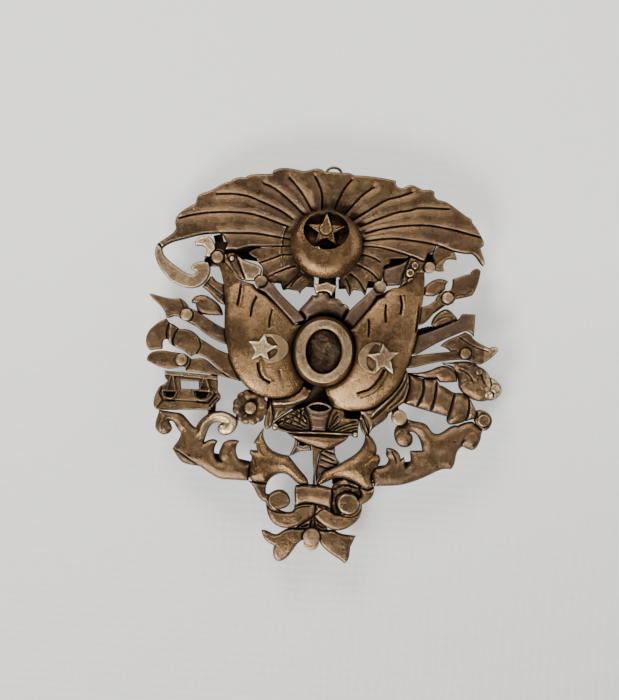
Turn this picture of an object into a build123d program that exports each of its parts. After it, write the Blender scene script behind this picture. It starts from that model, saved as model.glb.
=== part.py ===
from build123d import *
import os
from math import atan2, cos, degrees, hypot, pi, sin

# Cap badge: a brass trophy of arms on a sunburst, in millimetres. It stands as it is worn:
# +Z up, the front faces -Y, and the origin is on the back plane behind the blank oval.
# A depth is the distance in front of the back plane, so depth 2 is at y = -2.

seat = 1.0                 # depth where the front pieces start, on the strips and the plate
groove_width = 0.28
cutter_depth = 12.0        # reaches in front of every piece

fan_face, ray_face = 2.6, 2.4
flag_flat, flag_edge, flag_crest, flag_reach = 2.2, 2.6, 5.2, 11.0
dome_centre, dome_radii = (-0.6, 19.1), (6.6, 6.2)
dome_edge, dome_crest = 3.2, 5.6
star_centre, star_window = (-0.8, 21.5), (4.1, 3.45)
star_reach, star_waist, star_tilt = 3.75, 1.5, 90.0
oval_centre = (0.05, -0.1)
oval_outer, oval_top, oval_inner = (5.6, 6.35), (5.05, 5.65), (3.2, 4.0)
oval_skirt, oval_shoulder, oval_face, field_face = 4.2, 5.8, 6.6, 4.0

rivet_face, rivet_shank = 3.4, 0.5
rivets_at = [
    (-20.0, 15.65, 1.1), (-11.9, 11.7, 1.15), (-24.9, 5.0, 1.1), (-25.35, -3.1, 1.1),
    (-12.45, -11.05, 1.1), (9.45, 12.0, 1.15), (18.15, 16.1, 1.0), (21.7, 10.85, 1.05),
    (25.5, 1.05, 1.0), (14.3, -11.15, 1.45),
]

petals, petal_ring, petal_radius = 6, 1.7, 1.4
medal_at, medal_radius = (-0.15, -33.45), 1.55
lower_medal_at, lower_medal_radius = (-0.1, -34.55), 1.45

shank_x, shank_radius, shank_length = 9.0, 1.0, 3.4
collar_radius, collar_length = 1.3, 1.4
cotter_y, cotter_radius, cotter_reach, cotter_loop = 2.0, 0.5, 12.0, 1.6
running_gap = 0.05

ring_wire, ring_half_width, ring_height, ring_axis_z = 0.25, 1.4, 1.75, 31.5
ring_depth, staple_wall, staple_length = 0.25, 0.4, 1.8


# Helpers

def at(x, z, depth=0.0):
    return Vector(x, -depth, z)


def outline(start, *runs):
    """A flat face. Each run goes on from the last point: one point makes a straight side,
    and more points a smooth curve through them."""
    edges, here = [], start
    for run in runs:
        points = [at(*here)] + [at(*point) for point in run]
        straight = len(points) == 2
        edges.append(Edge.make_line(*points) if straight else Edge.make_spline(points))
        here = run[-1]
    if here != start:
        edges.append(Edge.make_line(at(*here), at(*start)))
    return Face(Wire(edges))


def front_plane(x, z):
    return Plane(origin=at(x, z), x_dir=(1, 0, 0), z_dir=(0, -1, 0))


def ellipse(centre, radii):
    return (front_plane(*centre) * Ellipse(*radii)).face()


def disc(centre, radius):
    return (front_plane(*centre) * Circle(radius)).face()


def slab(face, back, front):
    return Pos(0, -back, 0) * extrude(face, amount=front - back, dir=(0, -1, 0))


def through(face):
    return slab(face, -1, cutter_depth)


def minus(solid, *cutters):
    for cutter in cutters:
        solid = solid - cutter
    return solid


def dome(centre, reach, edge, crest):
    """A big ball whose skin lies at the crest depth at its centre and at the edge depth
    a reach away."""
    rise = crest - edge
    radius = (reach ** 2 + rise ** 2) / (2 * rise)
    return Pos(*at(*centre, crest - radius)) * Sphere(radius)


def ridge(start, end, reach, edge, crest):
    """A big cylinder laid along a line, for pieces rounded across their width."""
    rise = crest - edge
    radius = (reach ** 2 + rise ** 2) / (2 * rise)
    middle = at((start[0] + end[0]) / 2, (start[1] + end[1]) / 2, crest - radius)
    along = (end[0] - start[0], 0, end[1] - start[1])
    return Plane(origin=middle, z_dir=along) * Cylinder(radius, hypot(along[0], along[2]) + 40)


def band(points, width):
    """A flat face of even width along a line or a smooth curve."""
    path = Line(*points) if len(points) == 2 else Spline(*points)
    return (Plane.XZ * trace(path, width)).face()


def groove(points, floor, width=groove_width):
    return slab(band(points, width), floor, cutter_depth)


def strip(start, end, width):
    length = hypot(end[0] - start[0], end[1] - start[1])
    tilt = degrees(atan2(end[1] - start[1], end[0] - start[0]))
    middle = at((start[0] + end[0]) / 2, (start[1] + end[1]) / 2, seat / 2)
    return Pos(*middle) * Rot(0, -tilt, 0) * Box(length, seat, width)


pieces = {}


def keep(name, solid):
    pieces[name] = solid
    return solid


rivet_heads = [through(disc((x, z), radius)) for x, z, radius in rivets_at]
rivet_holes = [slab(disc((x, z), rivet_shank), -1, seat) for x, z, radius in rivets_at]


# The oval in the middle

oval_footprint = through(ellipse(oval_centre, oval_outer))
window = through(ellipse(oval_centre, oval_inner))
skirt = slab(ellipse(oval_centre, oval_outer), seat, oval_skirt)
shoulder = loft([Pos(0, -oval_skirt, 0) * ellipse(oval_centre, oval_outer),
                 Pos(0, -oval_shoulder, 0) * ellipse(oval_centre, oval_top)])
rim = slab(ellipse(oval_centre, oval_top), oval_shoulder, oval_face)
keep("oval_frame", minus(skirt + shoulder + rim, window))
keep("oval_field", slab(ellipse(oval_centre, oval_inner), seat, field_face))


# The flags, the emblems on them and their poles

left_pole_face = outline((-12.6, 10.4), [(-11.2, 9.9)], [(-9, 7.9), (-5.6, 4.5)], [(-3.6, 5.3)],
                         [(-4.9, 6.8), (-8, 9.5), (-9.6, 11.4)], [(-10.8, 12)])
right_pole_face = outline((8.3, 11.8), [(7.2, 10.6), (5.5, 8.9), (4, 7.2)], [(3.2, 5.6)],
                          [(5, 4.4)], [(6.3, 6.2), (7.6, 8), (9, 10.4)], [(10.3, 10.9)])
keep("left_pole", minus(slab(left_pole_face, seat, 6) & ridge((-12, 11), (-4.6, 5), 1.3, 4, 4.4),
                        oval_footprint, rivet_heads[1]))
keep("right_pole", minus(slab(right_pole_face, seat, 6) & ridge((9.5, 12), (3.6, 5.4), 1.3, 4, 4.4),
                         oval_footprint, rivet_heads[5]))

left_emblem_face = outline(
    (-10.9, 2.35), [(-9.5, 2.5), (-8, 2.3), (-6.9, 1.6), (-6.2, 0.5), (-6.15, -0.5), (-6.7, -1.5),
                    (-7.7, -2.3), (-8.8, -2.7), (-9.9, -2.8)], [(-10.5, -2.3), (-10.9, -1.9)],
    [(-11.3, -1.6)], [(-12, -2.1), (-12.75, -2.4)], [(-12.5, -1.6), (-12.2, -0.9)], [(-12.8, 0.2)],
    [(-13.5, 0.9)], [(-12.2, 1)], [(-11.7, 1.3), (-11.2, 2)])
left_emblem_windows = [
    outline((-10.1, 1.7), [(-9.7, 1.9), (-8.9, 1.3), (-8.3, 0.5)], [(-9.3, 0.5), (-9.9, 0.9)]),
    outline((-9.9, -0.9), [(-9.2, -0.5), (-8.3, -0.2)], [(-8.4, -1), (-9, -1.6), (-9.6, -2)]),
]
right_emblem_face = outline(
    (10.4, 2), [(9.2, 2.15), (7.9, 1.8), (6.8, 0.9), (6.15, -0.3), (6.2, -1.5), (7, -2.7),
                (8.2, -3.4), (9.2, -3.55), (10, -3.1)], [(10.4, -2.4)], [(10.9, -2.3)],
    [(11.6, -2.8), (12.6, -3.4)], [(12.5, -2.3), (12.3, -1.5)], [(12, -1)], [(12.8, -0.2)],
    [(13.7, 0.55)], [(11.8, 0.5)], [(11.2, 1.2), (10.4, 2)])
right_emblem_windows = [
    outline((8.1, 0.15), [(8.6, 0.9), (9.3, 1.7)], [(9.8, 1.4), (9.7, 0.8), (9.3, 0.1)]),
    outline((7.8, -0.6), [(8.9, -1.2), (9.2, -1.7), (8.9, -3)], [(8.3, -2.6), (7.9, -1.9)]),
]

left_flag_face = outline(
    (-20, 14.6), [(-19.4, 13.4), (-18.75, 11.8), (-18.4, 9.5), (-18.15, 6), (-17.9, 2.5),
                  (-17.3, -0.3), (-16.6, -2.7),
                  (-15.2, -5.2), (-13.6, -7.1), (-11.6, -8.45), (-9, -9.1), (-6, -8.8), (-4.5, -8),
                  (-3.35, -6.6)],
    [(-3, -5.5)], [(-3.5, 4.5)], [(-5.6, 4.5)], [(-9, 7.9), (-11.2, 9.9)], [(-12.6, 10.4)],
    [(-13.2, 11.2)], [(-15.2, 11.7)], [(-17, 12.9), (-17.9, 14), (-18.7, 14.75)])
right_flag_face = outline(
    (17.3, 15), [(17.4, 10.7), (17, 7.3), (16.5, 3.3), (15.8, 0), (14.8, -3.1), (13.5, -5.9),
                 (11.7, -8), (9.6, -9.7), (6.9, -10.4), (3.7, -10.3), (2.5, -10)],
    [(1.7, -9), (0.8, -7)], [(2, -4.5)], [(3.5, 3.5)], [(5, 4.4)], [(6.3, 6.2), (7.6, 8), (9, 10.4)],
    [(10.4, 11.2)], [(11.8, 12), (13.2, 12.2)], [(15, 13.4), (15.8, 14.1)], [(16, 14.95)])
flag_slits = {
    "left_flag": [[(-15.5, 11.2), (-15.6, 9.2), (-15.85, 7.3)], [(-12.6, 8.9), (-13.2, 7.2),
                  (-13.4, 5.4)],
                  [(-9.6, 6.8), (-9.9, 5.2), (-9.95, 3.6)],
                  [(-11.6, -2.9), (-11.3, -4.3), (-10.6, -5.5), (-9.3, -6.2)]],
    "right_flag": [[(13.2, 10.6), (13.5, 9), (13.3, 7.4)], [(10.7, 8.8), (10.6, 7.4), (10.8, 5.8)],
                   [(11, -2.7), (10.2, -4.4), (8.8, -6.2), (6.6, -7.2)]],
}


def flag(name, face, centre, emblem, windows, neighbours):
    skin = dome(centre, flag_reach, flag_edge, flag_crest)
    body = minus((slab(face, seat, 8) & skin) + slab(face, seat, flag_flat), oval_footprint, *neighbours)
    floor = flag_crest - 1.2
    pocket = minus(slab(emblem, floor, cutter_depth), *[through(w) for w in windows])
    slits = [groove(points, flag_edge - 0.2) for points in flag_slits[name]]
    raised = dome(centre, flag_reach, flag_edge + 0.4, flag_crest + 0.4)
    keep(name, minus(body, pocket, *slits))
    keep(name.replace("flag", "emblem"), pocket & raised)
    return through(face)


left_flag_footprint = flag("left_flag", left_flag_face, (-10.6, 1), left_emblem_face,
                           left_emblem_windows, [through(left_pole_face), *rivet_heads[:2]])
right_flag_footprint = flag("right_flag", right_flag_face, (9.8, 1), right_emblem_face,
                            right_emblem_windows, [through(right_pole_face), rivet_heads[5]])


# The sunburst, the crescent with its star, and the rays below them

fan_outline = outline(
    (-30.9, 17.5), [(-29, 19), (-28.1, 19.9), (-27.8, 20.5)],
    [(-27.8, 22.6), (-26.3, 24.1), (-24.55, 25.2)], [(-24.45, 25.85)],
    [(-23.85, 26.85), (-22.35, 27.45), (-20.35, 28.7), (-18.6, 29.4)], [(-18.2, 29.8)],
    [(-17.5, 30.15), (-15.85, 30.3)], [(-15.55, 30.65)],
    [(-14.75, 30.9), (-13.25, 31.1), (-11.1, 31.3)], [(-10.95, 31.85)],
    [(-10.5, 32.1), (-8.15, 32.45), (-5.9, 32.15)],
    [(-4.75, 32.25), (-3.85, 32.55), (-1.75, 32.25)], [(1.5, 32.2)], [(3.05, 32.15), (3.65, 31.9)],
    [(7.6, 31.8), (11.2, 31.35)], [(11.25, 30.85)], [(11.4, 30.45)],
    [(13.15, 30.45), (13.75, 30.75), (14.65, 30.65), (15.45, 30.3)],
    [(16.35, 30.05), (17.15, 30.1), (18.25, 29.75)], [(18.3, 29)],
    [(18.65, 28.6), (20.1, 28.2), (21.6, 27.5), (23.1, 26.5), (25.2, 25.3)], [(25.4, 24.65)],
    [(26.3, 23.65), (27.1, 22.45), (27.7, 21.25), (27.7, 20.65)], [(27.15, 20.1)],
    [(27.5, 19.2), (27.9, 18.2), (28, 17.2), (27.8, 16.95)],
    [(27.2, 17.5), (26.5, 18.4), (25.6, 19)],
    [(24, 19), (22.4, 19.25), (20.5, 19.8), (19.3, 20.1)], [(18.7, 18.9)], [(17.7, 18.4)],
    [(17.3, 17.15)], [(16.6, 17.2), (15.5, 17.65), (14.6, 17.9)],
    [(13, 18.35), (11, 18.8), (8.5, 19.2), (6, 19.1)], [(-7.2, 18.45)],
    [(-9, 18.3), (-12.5, 18), (-14.2, 17.9)], [(-15, 17.7), (-16, 17.3), (-17.3, 17.15)],
    [(-18.8, 17)], [(-18.5, 18.4)], [(-19, 19)], [(-19.4, 19.7), (-20, 20)],
    [(-21.9, 19.75), (-23.3, 19.5), (-25, 19), (-26.5, 18.5), (-28, 18), (-29.2, 17.4), (-30.05, 16.7)])
ray_grooves = [
    [(-19.8, 20.05), (-16, 20.25), (-13, 20.3), (-8.6, 19.85), (-7, 19.7)],
    [(-27.3, 22.3), (-25, 23), (-22, 23.6), (-18.5, 23.9), (-15.5, 23.9), (-13, 23.5), (-7.6, 21.9)],
    [(-20.8, 27), (-18, 27.2), (-15.5, 27), (-13, 26.2), (-9, 24.6), (-7, 23.3)],
    [(-12.5, 29.4), (-10.5, 28.6), (-8.5, 27.2), (-7, 26), (-4.9, 24.2)],
    [(-8, 30.7), (-6.5, 29.2), (-5.2, 27.6), (-3.6, 25)],
    [(-3.4, 31.2), (-2.6, 29.8), (-2, 28.2), (-1.8, 25.4)],
    [(3.3, 31), (2.2, 29.6), (1.3, 27.8), (0.5, 25.5)],
    [(7.3, 29.9), (5.5, 28.5), (4, 26.8), (2.2, 24.6)],
    [(14.2, 29.4), (10, 27.9), (6.5, 25.6), (3.8, 23.7)],
    [(21, 26.8), (16, 26.7), (12, 25.7), (9.5, 24.7), (5.2, 22.7)],
    [(27, 22.1), (22, 23.1), (19, 23.5), (14, 23.4), (11, 22.9), (6.2, 21.5)],
    [(20.5, 19.8), (18, 20.4), (15, 20.7), (12, 20.9), (9.5, 20.7), (6, 20.1)],
]
lower_left_face = outline(
    (-2, 18.6), [(-7.2, 18.4)], [(-9, 18.25), (-11, 18), (-13.2, 17.7)], [(-14.6, 16.85)],
    [(-14, 16.3), (-13.1, 15.9)], [(-12.6, 15.1)], [(-12, 14.5), (-11.85, 13.2)], [(-11.6, 12)],
    [(-10.2, 11.8)], [(-9.5, 11.55)], [(-9.3, 11.85)], [(-8.45, 11.8)], [(-8.2, 11), (-7.95, 10.45)],
    [(-7.1, 10.7)], [(-5.2, 10.5)], [(-4.85, 9.9)], [(-4.5, 10.7)], [(-3.7, 11.4), (-3, 12.2)],
    [(-2.7, 12.8)], [(-2, 14)])
lower_right_face = outline(
    (1.6, 18.8), [(6, 19.05)], [(8.5, 19.15), (11, 18.75), (13, 18.3), (14.5, 17.9)], [(13.9, 17.45)],
    [(12.5, 17.35), (11, 17.2)], [(11, 16.3)], [(10.2, 16), (9.85, 15.5)], [(9.9, 14.6), (9.7, 13.1)],
    [(9.4, 12)], [(8.3, 12.9)], [(7.4, 13)], [(7.25, 12), (7.05, 10.9), (6.9, 10.35)], [(6.2, 11.2)],
    [(4.75, 11.3)], [(4.1, 10.05)], [(3.6, 10.9), (3, 12), (2.5, 12.6)], [(2.1, 13.3)], [(1.6, 14.2)])
lower_grooves = {
    "left": [[(-6.9, 17), (-8.5, 16.8), (-10, 16.1), (-12.4, 15.1)], [(-4.9, 13.9), (-6.4, 12.2),
             (-8, 10.5)]],
    "right": [[(5.9, 17.8), (7.5, 17.4), (9.3, 16.6)], [(5.2, 15.9), (6.5, 15.3), (8, 14.4),
                                                        (9, 13.3)],
              [(4, 14.2), (5.5, 13), (6.9, 11)]],
}
fan_footprint = through(fan_outline)
fan_cuts = [groove(points, fan_face - 0.7) for points in ray_grooves]
keep("ray_fan", minus(slab(fan_outline, seat, fan_face), *fan_cuts))
keep("lower_left_rays", minus(slab(lower_left_face, seat, ray_face), fan_footprint, rivet_heads[1],
                              through(left_pole_face),
                              *[groove(points, 1.8) for points in lower_grooves["left"]]))
keep("lower_right_rays", minus(slab(lower_right_face, seat, ray_face), fan_footprint, rivet_heads[5],
                               through(right_pole_face),
                               *[groove(points, 1.8) for points in lower_grooves["right"]]))


def star_face(centre, reach, waist, tilt):
    corners = []
    for step in range(10):
        radius = reach if step % 2 == 0 else waist
        angle = (tilt + 36 * step) * pi / 180
        corners.append((centre[0] + radius * cos(angle), centre[1] + radius * sin(angle) * 0.92))
    return outline(corners[0], *[[corner] for corner in corners[1:]])


dome_body = slab(ellipse(dome_centre, dome_radii), fan_face, 9) & dome(
    dome_centre, max(dome_radii), dome_edge, dome_crest)
keep("crescent_dome", minus(dome_body, through(ellipse(star_centre, star_window))))
star_plate = slab(star_face(star_centre, star_reach, star_waist, star_tilt), fan_face, 3.9)
boss_face = outline((-0.8, 24.5), [(-0.3, 23.2), (0.1, 22.2)],
                    [(0.15, 21.5), (-0.2, 20.9), (-0.9, 20.6), (-1.6, 20.9), (-1.95, 21.5)],
                    [(-1.9, 22.2)],
                    [(-1.4, 23.2), (-0.8, 24.5)])
boss = slab(boss_face, fan_face, 5.4) & dome((-0.9, 21.9), 2.6, 4.2, 5)
keep("star", (star_plate & through(ellipse(star_centre, star_window))) + boss)


# Crown and hood between the dome and the oval

crown_face = outline((-2.55, 12.05), [(-1.4, 12), (-0.7, 12.25), (-0.1, 12.45), (0.5, 12.25),
                                      (1.75, 11.95)],
                     [(1.5, 11.2), (0.75, 9.65)], [(0.2, 10.45), (-0.8, 10.55), (-1.9, 10.1)],
                     [(-2.3, 10.9), (-2.55, 12.05)])
hood_face = outline((-5, 6.7), [(-4.1, 8), (-3.5, 8.7), (-2.7, 9.9)], [(-1.9, 9.9)], [(-0.9, 10.6),
                    (0.2, 10.5)],
                    [(0.7, 9.6)], [(1.6, 9.6), (2.4, 9.3), (2.9, 8.7)], [(3.9, 8.3), (4.2, 7.6)],
                    [(4.8, 7)],
                    [(3.2, 4.5)], [(-3.4, 4.5)])
keep("crown", slab(crown_face, seat, 3.2))
keep("oval_hood", minus(slab(hood_face, seat, 6) & dome((0, 5), 5.5, 2.6, 4.4), through(crown_face),
                        oval_footprint, through(left_pole_face), through(right_pole_face)))


# Pole tips and the small pieces round the upper rivets

left_tip_face = outline((-16.9, 16.6), [(-16, 15.95), (-15, 15.4), (-13.5, 14.95), (-12.5, 14.65)],
                        [(-12.05, 14.2), (-12, 13.2)], [(-11.9, 12)], [(-13.2, 11.8), (-14.8, 11.75)],
                        [(-15.1, 12.6), (-15.6, 13.7), (-16.1, 15), (-16.9, 16.6)])
right_tip_face = outline((14.6, 17.9), [(13.7, 16.9), (12.2, 16.15), (11, 15.75)], [(10, 15.3)],
                         [(9.9, 14.4), (10, 13.2)], [(9.6, 12)], [(11, 12.4)], [(13, 12.6)],
                         [(13.2, 13.6), (13.6, 15.2), (14.6, 17.9)])
left_link_face = outline((-22.5, 14.9), [(-22.3, 15.5)], [(-21.6, 16), (-20.9, 17.1), (-19.9, 17.3),
                                                          (-18.9, 17)],
                         [(-18.7, 16.3)], [(-18.8, 14.9)], [(-19.1, 14.2), (-20.3, 14), (-21.2, 13.9)],
                         [(-21.9, 14.5)])
right_link_face = outline((14.7, 17.75), [(15.5, 17.6), (16.6, 17.2), (17.6, 17.1)], [(18.2, 16.1)],
                          [(17.3, 15)], [(16, 14.95)], [(15.8, 14), (15, 13.4), (13.3, 12.1)],
                          [(13.1, 12.7)],
                          [(13.4, 14.3), (13.8, 16), (14.7, 17.75)])
comma_face = outline((-24.2, 17.9), [(-23.9, 18.6), (-23, 19.2), (-22.2, 19.35), (-21.4, 19),
                                     (-20.8, 18.3),
                                     (-20.5, 17.5), (-20.5, 16.9)], [(-21.1, 16.2)], [(-21.3, 15.6)],
                     [(-22.4, 15.6)], [(-22, 16.4), (-22.1, 17), (-22.6, 17.45), (-23.3, 17.6),
                                       (-24, 17.55)])
left_slip_face = outline((-18.9, 16.3), [(-17.8, 16.6), (-17, 16.7)], [(-16.05, 14.9), (-15.4, 13.6),
                         (-14.85, 12)],
                         [(-15.3, 11.8)], [(-17, 12.95), (-17.9, 14), (-18.8, 14.85)])
wing_leaf_face = outline((18.9, 19.2), [(19.4, 19.95)], [(20.5, 19.75), (22.4, 19.25)],
                         [(22.9, 18.3)], [(23, 17.8)],
                         [(22.2, 17.85), (21.1, 17.6), (20.65, 16.3), (20.9, 15.7)], [(19.7, 15.55),
                                                                                      (19.2, 15.7)],
                         [(18.2, 16.2)], [(18.9, 17.2)], [(18.6, 17.7), (18.5, 18.5), (18.9, 19.2)])
flag_footprints = [left_flag_footprint, right_flag_footprint]
hook_face = outline(
    (-30.9, 17.5), [(-31.3, 16), (-30.6, 13.7), (-29, 11.7), (-27.9, 10.8), (-26.7, 10.25),
                    (-24.2, 9.85),
                    (-22.5, 10.55), (-21.5, 11.9), (-21.2, 13.7)], [(-21.6, 14.7)],
    [(-22.6, 14.75), (-23.7, 14.55), (-24.3, 14.2), (-24.65, 13.6)], [(-24.4, 13.1), (-23.9, 12.9),
                                                                      (-23.8, 12.5)],
    [(-24.7, 12.25), (-25.5, 12.5), (-27.3, 13.6), (-29, 14.8), (-29.95, 16), (-30.05, 16.7)])
keep("left_pole_tip", minus(slab(left_tip_face, seat, 3), rivet_heads[1], *flag_footprints,
                            through(lower_left_face)))
keep("right_pole_tip", minus(slab(right_tip_face, seat, 3), rivet_heads[5], *flag_footprints,
                             through(lower_right_face), fan_footprint))
keep("comma_curl", minus(slab(comma_face, seat, 3.4), rivet_heads[0], fan_footprint, *flag_footprints))
keep("left_slip", minus(slab(left_slip_face, seat, 2.4), rivet_heads[0], through(left_tip_face),
                        fan_footprint,
                        *flag_footprints))
keep("hook_scroll", minus(slab(hook_face, seat, 2.8), fan_footprint))
keep("left_link", minus(slab(left_link_face, seat, 1.8), rivet_heads[0],
                        fan_footprint, through(comma_face),
                        through(left_slip_face), through(hook_face), *flag_footprints))
keep("right_link", minus(slab(right_link_face, seat, 2.2), rivet_heads[6], fan_footprint,
                         through(right_tip_face), *flag_footprints))
keep("wing_leaf", minus(slab(wing_leaf_face, seat, 2.4), rivet_heads[6], fan_footprint))


# The arms behind the left flag

halberd_face = outline(
    (-31.8, 8.45), [(-29.5, 8), (-27.9, 7.75), (-26.3, 7.9)], [(-25.5, 7.4), (-24.6, 6.3)],
    [(-23.7, 6), (-21.8, 4.95), (-19.7, 3.75), (-17.6, 2.8)], [(-17.3, 0)],
    [(-18.3, 0.3), (-19.7, 0.85), (-22.3, 2.4), (-24.3, 3.65), (-25, 3.85)],
    [(-26.3, 4.5), (-27.2, 4.6), (-27.9, 4.3), (-28.6, 4.25)], [(-29, 5.45), (-30.2, 6.7),
                                                                (-31.75, 8.1)])
blade_face = outline((-24.25, 7.7), [(-23.1, 8.65), (-22.1, 8.75), (-20.3, 8), (-19.4, 7.3),
                                     (-18.75, 6.4),
                                     (-18.45, 5.3)], [(-19.9, 5.2), (-21, 5.2), (-22.3, 5.25)],
                                     [(-23.05, 5.6)],
                     [(-23.3, 6.4), (-23.5, 7.1)], [(-24.2, 7.2)])
left_leaf_face = outline((-21.2, 12.1), [(-20.9, 12.2), (-20.2, 11.6), (-19.6, 11.2), (-18.5, 11)],
                         [(-18.2, 7.2)],
                         [(-19.7, 7.85), (-20.8, 8.9), (-22, 9.85), (-22.5, 10.1)], [(-22, 10.9),
                                                                                     (-21.4, 11.7)])
axe_face = outline(
    (-28.6, 4.1), [(-30.7, 2.7), (-31.9, 0.8), (-31.65, -1.2), (-31.1, -1.8)], [(-30.3, -1.65),
                                                                                (-29, -1.4)],
    [(-29, -0.4), (-28.9, 0.1), (-28.4, 0.4), (-27.9, 0.1)], [(-26.7, -0.9), (-25.9, -1.15),
                                                              (-25, -1.5)],
    [(-23.7, -2.45)], [(-23.2, -2.1), (-22.5, -2)], [(-20.7, -2.7), (-18.6, -4.35), (-15.7, -6.15)],
    [(-14.5, -6.4)],
    [(-15.5, -4.5), (-17, -1.5)], [(-18.3, -1.2), (-19.7, -0.55), (-22.3, 0.85)],
    [(-23.8, 2.1), (-24.7, 2.4), (-25.9, 2.35)], [(-26.3, 2.5)], [(-27.1, 3.05), (-28, 3.4)])
pick_face = outline(
    (-31.6, -3.3), [(-31.35, -2.6), (-30.3, -1.9)], [(-28.6, -1.65), (-27, -1.85), (-25.3, -2),
                                                     (-24.3, -2.4)],
    [(-23.7, -2.9)], [(-23.1, -2.8), (-21.5, -2.7), (-19.7, -3.8), (-17.3, -5.4), (-16.3, -6)],
    [(-18.9, -5.5)],
    [(-21, -5.3), (-24.4, -5.1)], [(-24.9, -4.3)], [(-26.3, -4.7)], [(-27.9, -4.9), (-30.3, -4.25),
                                                                     (-31.6, -3.6)])
keep("left_halberd", minus(slab(halberd_face, seat, 5) & ridge((-31, 8), (-17, 1.2), 2.6, 2, 2.9),
                           rivet_heads[2], *flag_footprints))
keep("left_blade", minus(slab(blade_face, seat, 2.4), through(halberd_face), *flag_footprints))
keep("left_leaf", minus(slab(left_leaf_face, seat, 2.2), through(hook_face), through(blade_face),
                        *flag_footprints))
keep("left_axe", minus(slab(axe_face, seat, 5) & ridge((-30, 1.5), (-15.5, -5), 5, 2.1, 3),
                       rivet_heads[3], through(halberd_face), *flag_footprints))
keep("left_pick", minus(slab(pick_face, seat, 5) & ridge((-31, -2.8), (-17, -4.6), 2.2, 2, 2.7),
                        rivet_heads[3], through(axe_face), *flag_footprints))

tablet_face = outline(
    (-28.4, -5.25), [(-18.85, -5.65)], [(-18.65, -6.8)], [(-18.6, -8.3)], [(-18, -9.2)], [(-18, -9.8)],
    [(-19.65, -11.95)], [(-22.3, -12), (-25.7, -12.25), (-29.3, -12.35)],
    [(-29.8, -11.9), (-30, -11.1), (-29.4, -8.8), (-28.9, -8), (-28.3, -7.75)], [(-27.7, -7.1)],
    [(-28.2, -6.5)])
tablet_window = outline((-25.4, -6.9), [(-22.1, -6.9)], [(-21.95, -8.3)], [(-25.2, -8.35)])
tablet_steps = [[(-28, -10.5), (-20.6, -10.55)], [(-20.1, -11.3), (-18.5, -9.3)], [(-19.6, -10.9),
                (-18.6, -9.6)]]
keep("tablet", minus(slab(tablet_face, seat, 2.2), through(tablet_window), through(pick_face),
                     *[groove(points, 1.8, 0.24) for points in tablet_steps], *flag_footprints))
beam_face = outline((-28.2, -5.45), [(-18.95, -5.8)], [(-18.75, -6.3)], [(-19.1, -6.65)],
                    [(-19.6, -6.15)],
                    [(-28, -6.05)])
left_pan_face = outline((-28.3, -8.8), [(-26, -8.8)], [(-26.1, -9.6), (-26.5, -10.1)],
                        [(-27.8, -10.1)],
                        [(-28.2, -9.6), (-28.3, -8.8)])
right_pan_face = outline((-22.9, -8.5), [(-19.4, -8.6)], [(-20, -9.6), (-20.9, -10.15), (-21.8, -10.2),
                                                        (-22.6, -9.6), (-22.9, -8.5)])
right_pan_pocket = outline((-22.3, -8.8), [(-20.1, -8.85)], [(-20.6, -9.6), (-21.4, -9.85),
                           (-22, -9.6), (-22.3, -8.8)])
strings = [band([top, bottom], 0.32) for top, bottom in [
    ((-27.1, -5.9), (-27.7, -8.95)), ((-26.7, -5.9), (-26.2, -8.95)),
    ((-21.05, -5.95), (-21.95, -8.7)), ((-20.85, -5.95), (-19.95, -8.7))]]
scales_body = slab(beam_face, 2.2, 3.1) + slab(left_pan_face, 2.2, 2.9) + slab(right_pan_face, 2.2,
                                                                               2.9)
for string in strings:
    scales_body = scales_body + slab(string, 2.2, 2.7)
keep("scales", minus(scales_body, slab(right_pan_pocket, 2.5, 9), through(pick_face)))


# Flower, stalk and cloth below the left flag

flower_centre = (-12.55, -10.8)
flower_body = slab(disc(flower_centre, 1.9), seat, 2.4)
for step in range(petals):
    turn = 2 * pi * step / petals + pi / 2
    spot = (flower_centre[0] + petal_ring * cos(turn), flower_centre[1] + petal_ring * sin(turn) * 0.9)
    flower_body = flower_body + (slab(disc(spot, petal_radius),
                                      seat, 5) & dome(spot, petal_radius, 2, 2.7))
stalk_face = outline((-9, -8.6), [(-8.45, -11), (-8.2, -12.4), (-8.25, -13.3)],
                     [(-8.5, -14.1), (-8.9, -14.55), (-9.5, -14.6), (-9.85, -14), (-9.8, -12.7),
                      (-9.5, -11.5),
                      (-9, -8.6)])
left_drape_face = outline((-8.8, -10.1), [(-8.75, -9)], [(-5, -7.5), (-3.2, -6.4)], [(-1.7, -6.95)],
                          [(-1.65, -7.4), (-2, -8.15), (-2.5, -8.9)], [(-4.5, -10.4), (-5.7, -11.3),
                                                                       (-8.2, -13.25)],
                          [(-8.2, -12), (-8.45, -10.9), (-8.8, -10.1)])
right_drape_face = outline((7.2, -10.4), [(9, -9.5), (11.5, -7.5), (13.5, -5), (14.9, -2.2)],
                           [(15.5, -3.2), (15.85, -4.8), (15.7, -6.6), (15.2, -8.4)], [(14.4, -8.95),
                                                                                       (12.4, -10.6)],
                           [(12, -11.5), (10.9, -12.5), (9.9, -13.3), (9.1, -14.7)],
                           [(8.9, -13.4), (8.5, -12.3), (7.8, -11.3), (7.2, -10.9)])
right_stalk_face = outline((7.2, -11), [(7.9, -11.4), (8.5, -12.4), (8.9, -13.5), (9.1, -14.6)],
                           [(8.4, -14.7)],
                           [(7.7, -13.9), (7.3, -12.8), (7.15, -11.9)])
keep("flower", minus(flower_body, rivet_heads[4], *flag_footprints))
keep("stalk_leaf", minus(slab(stalk_face, seat, 2.6), *flag_footprints, slab(disc(flower_centre, 3.1),
     -1, 9)))
keep("left_drape", minus(slab(left_drape_face, seat, 6) & ridge((-8, -11), (-2, -7.5), 3, 2.2, 3.2),
                         through(stalk_face), oval_footprint, *flag_footprints))
keep("right_drape", minus(slab(right_drape_face, seat, 6) & dome((11, -9), 7.5, 2, 3.2),
                          rivet_heads[9],
                          *flag_footprints))
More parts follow.
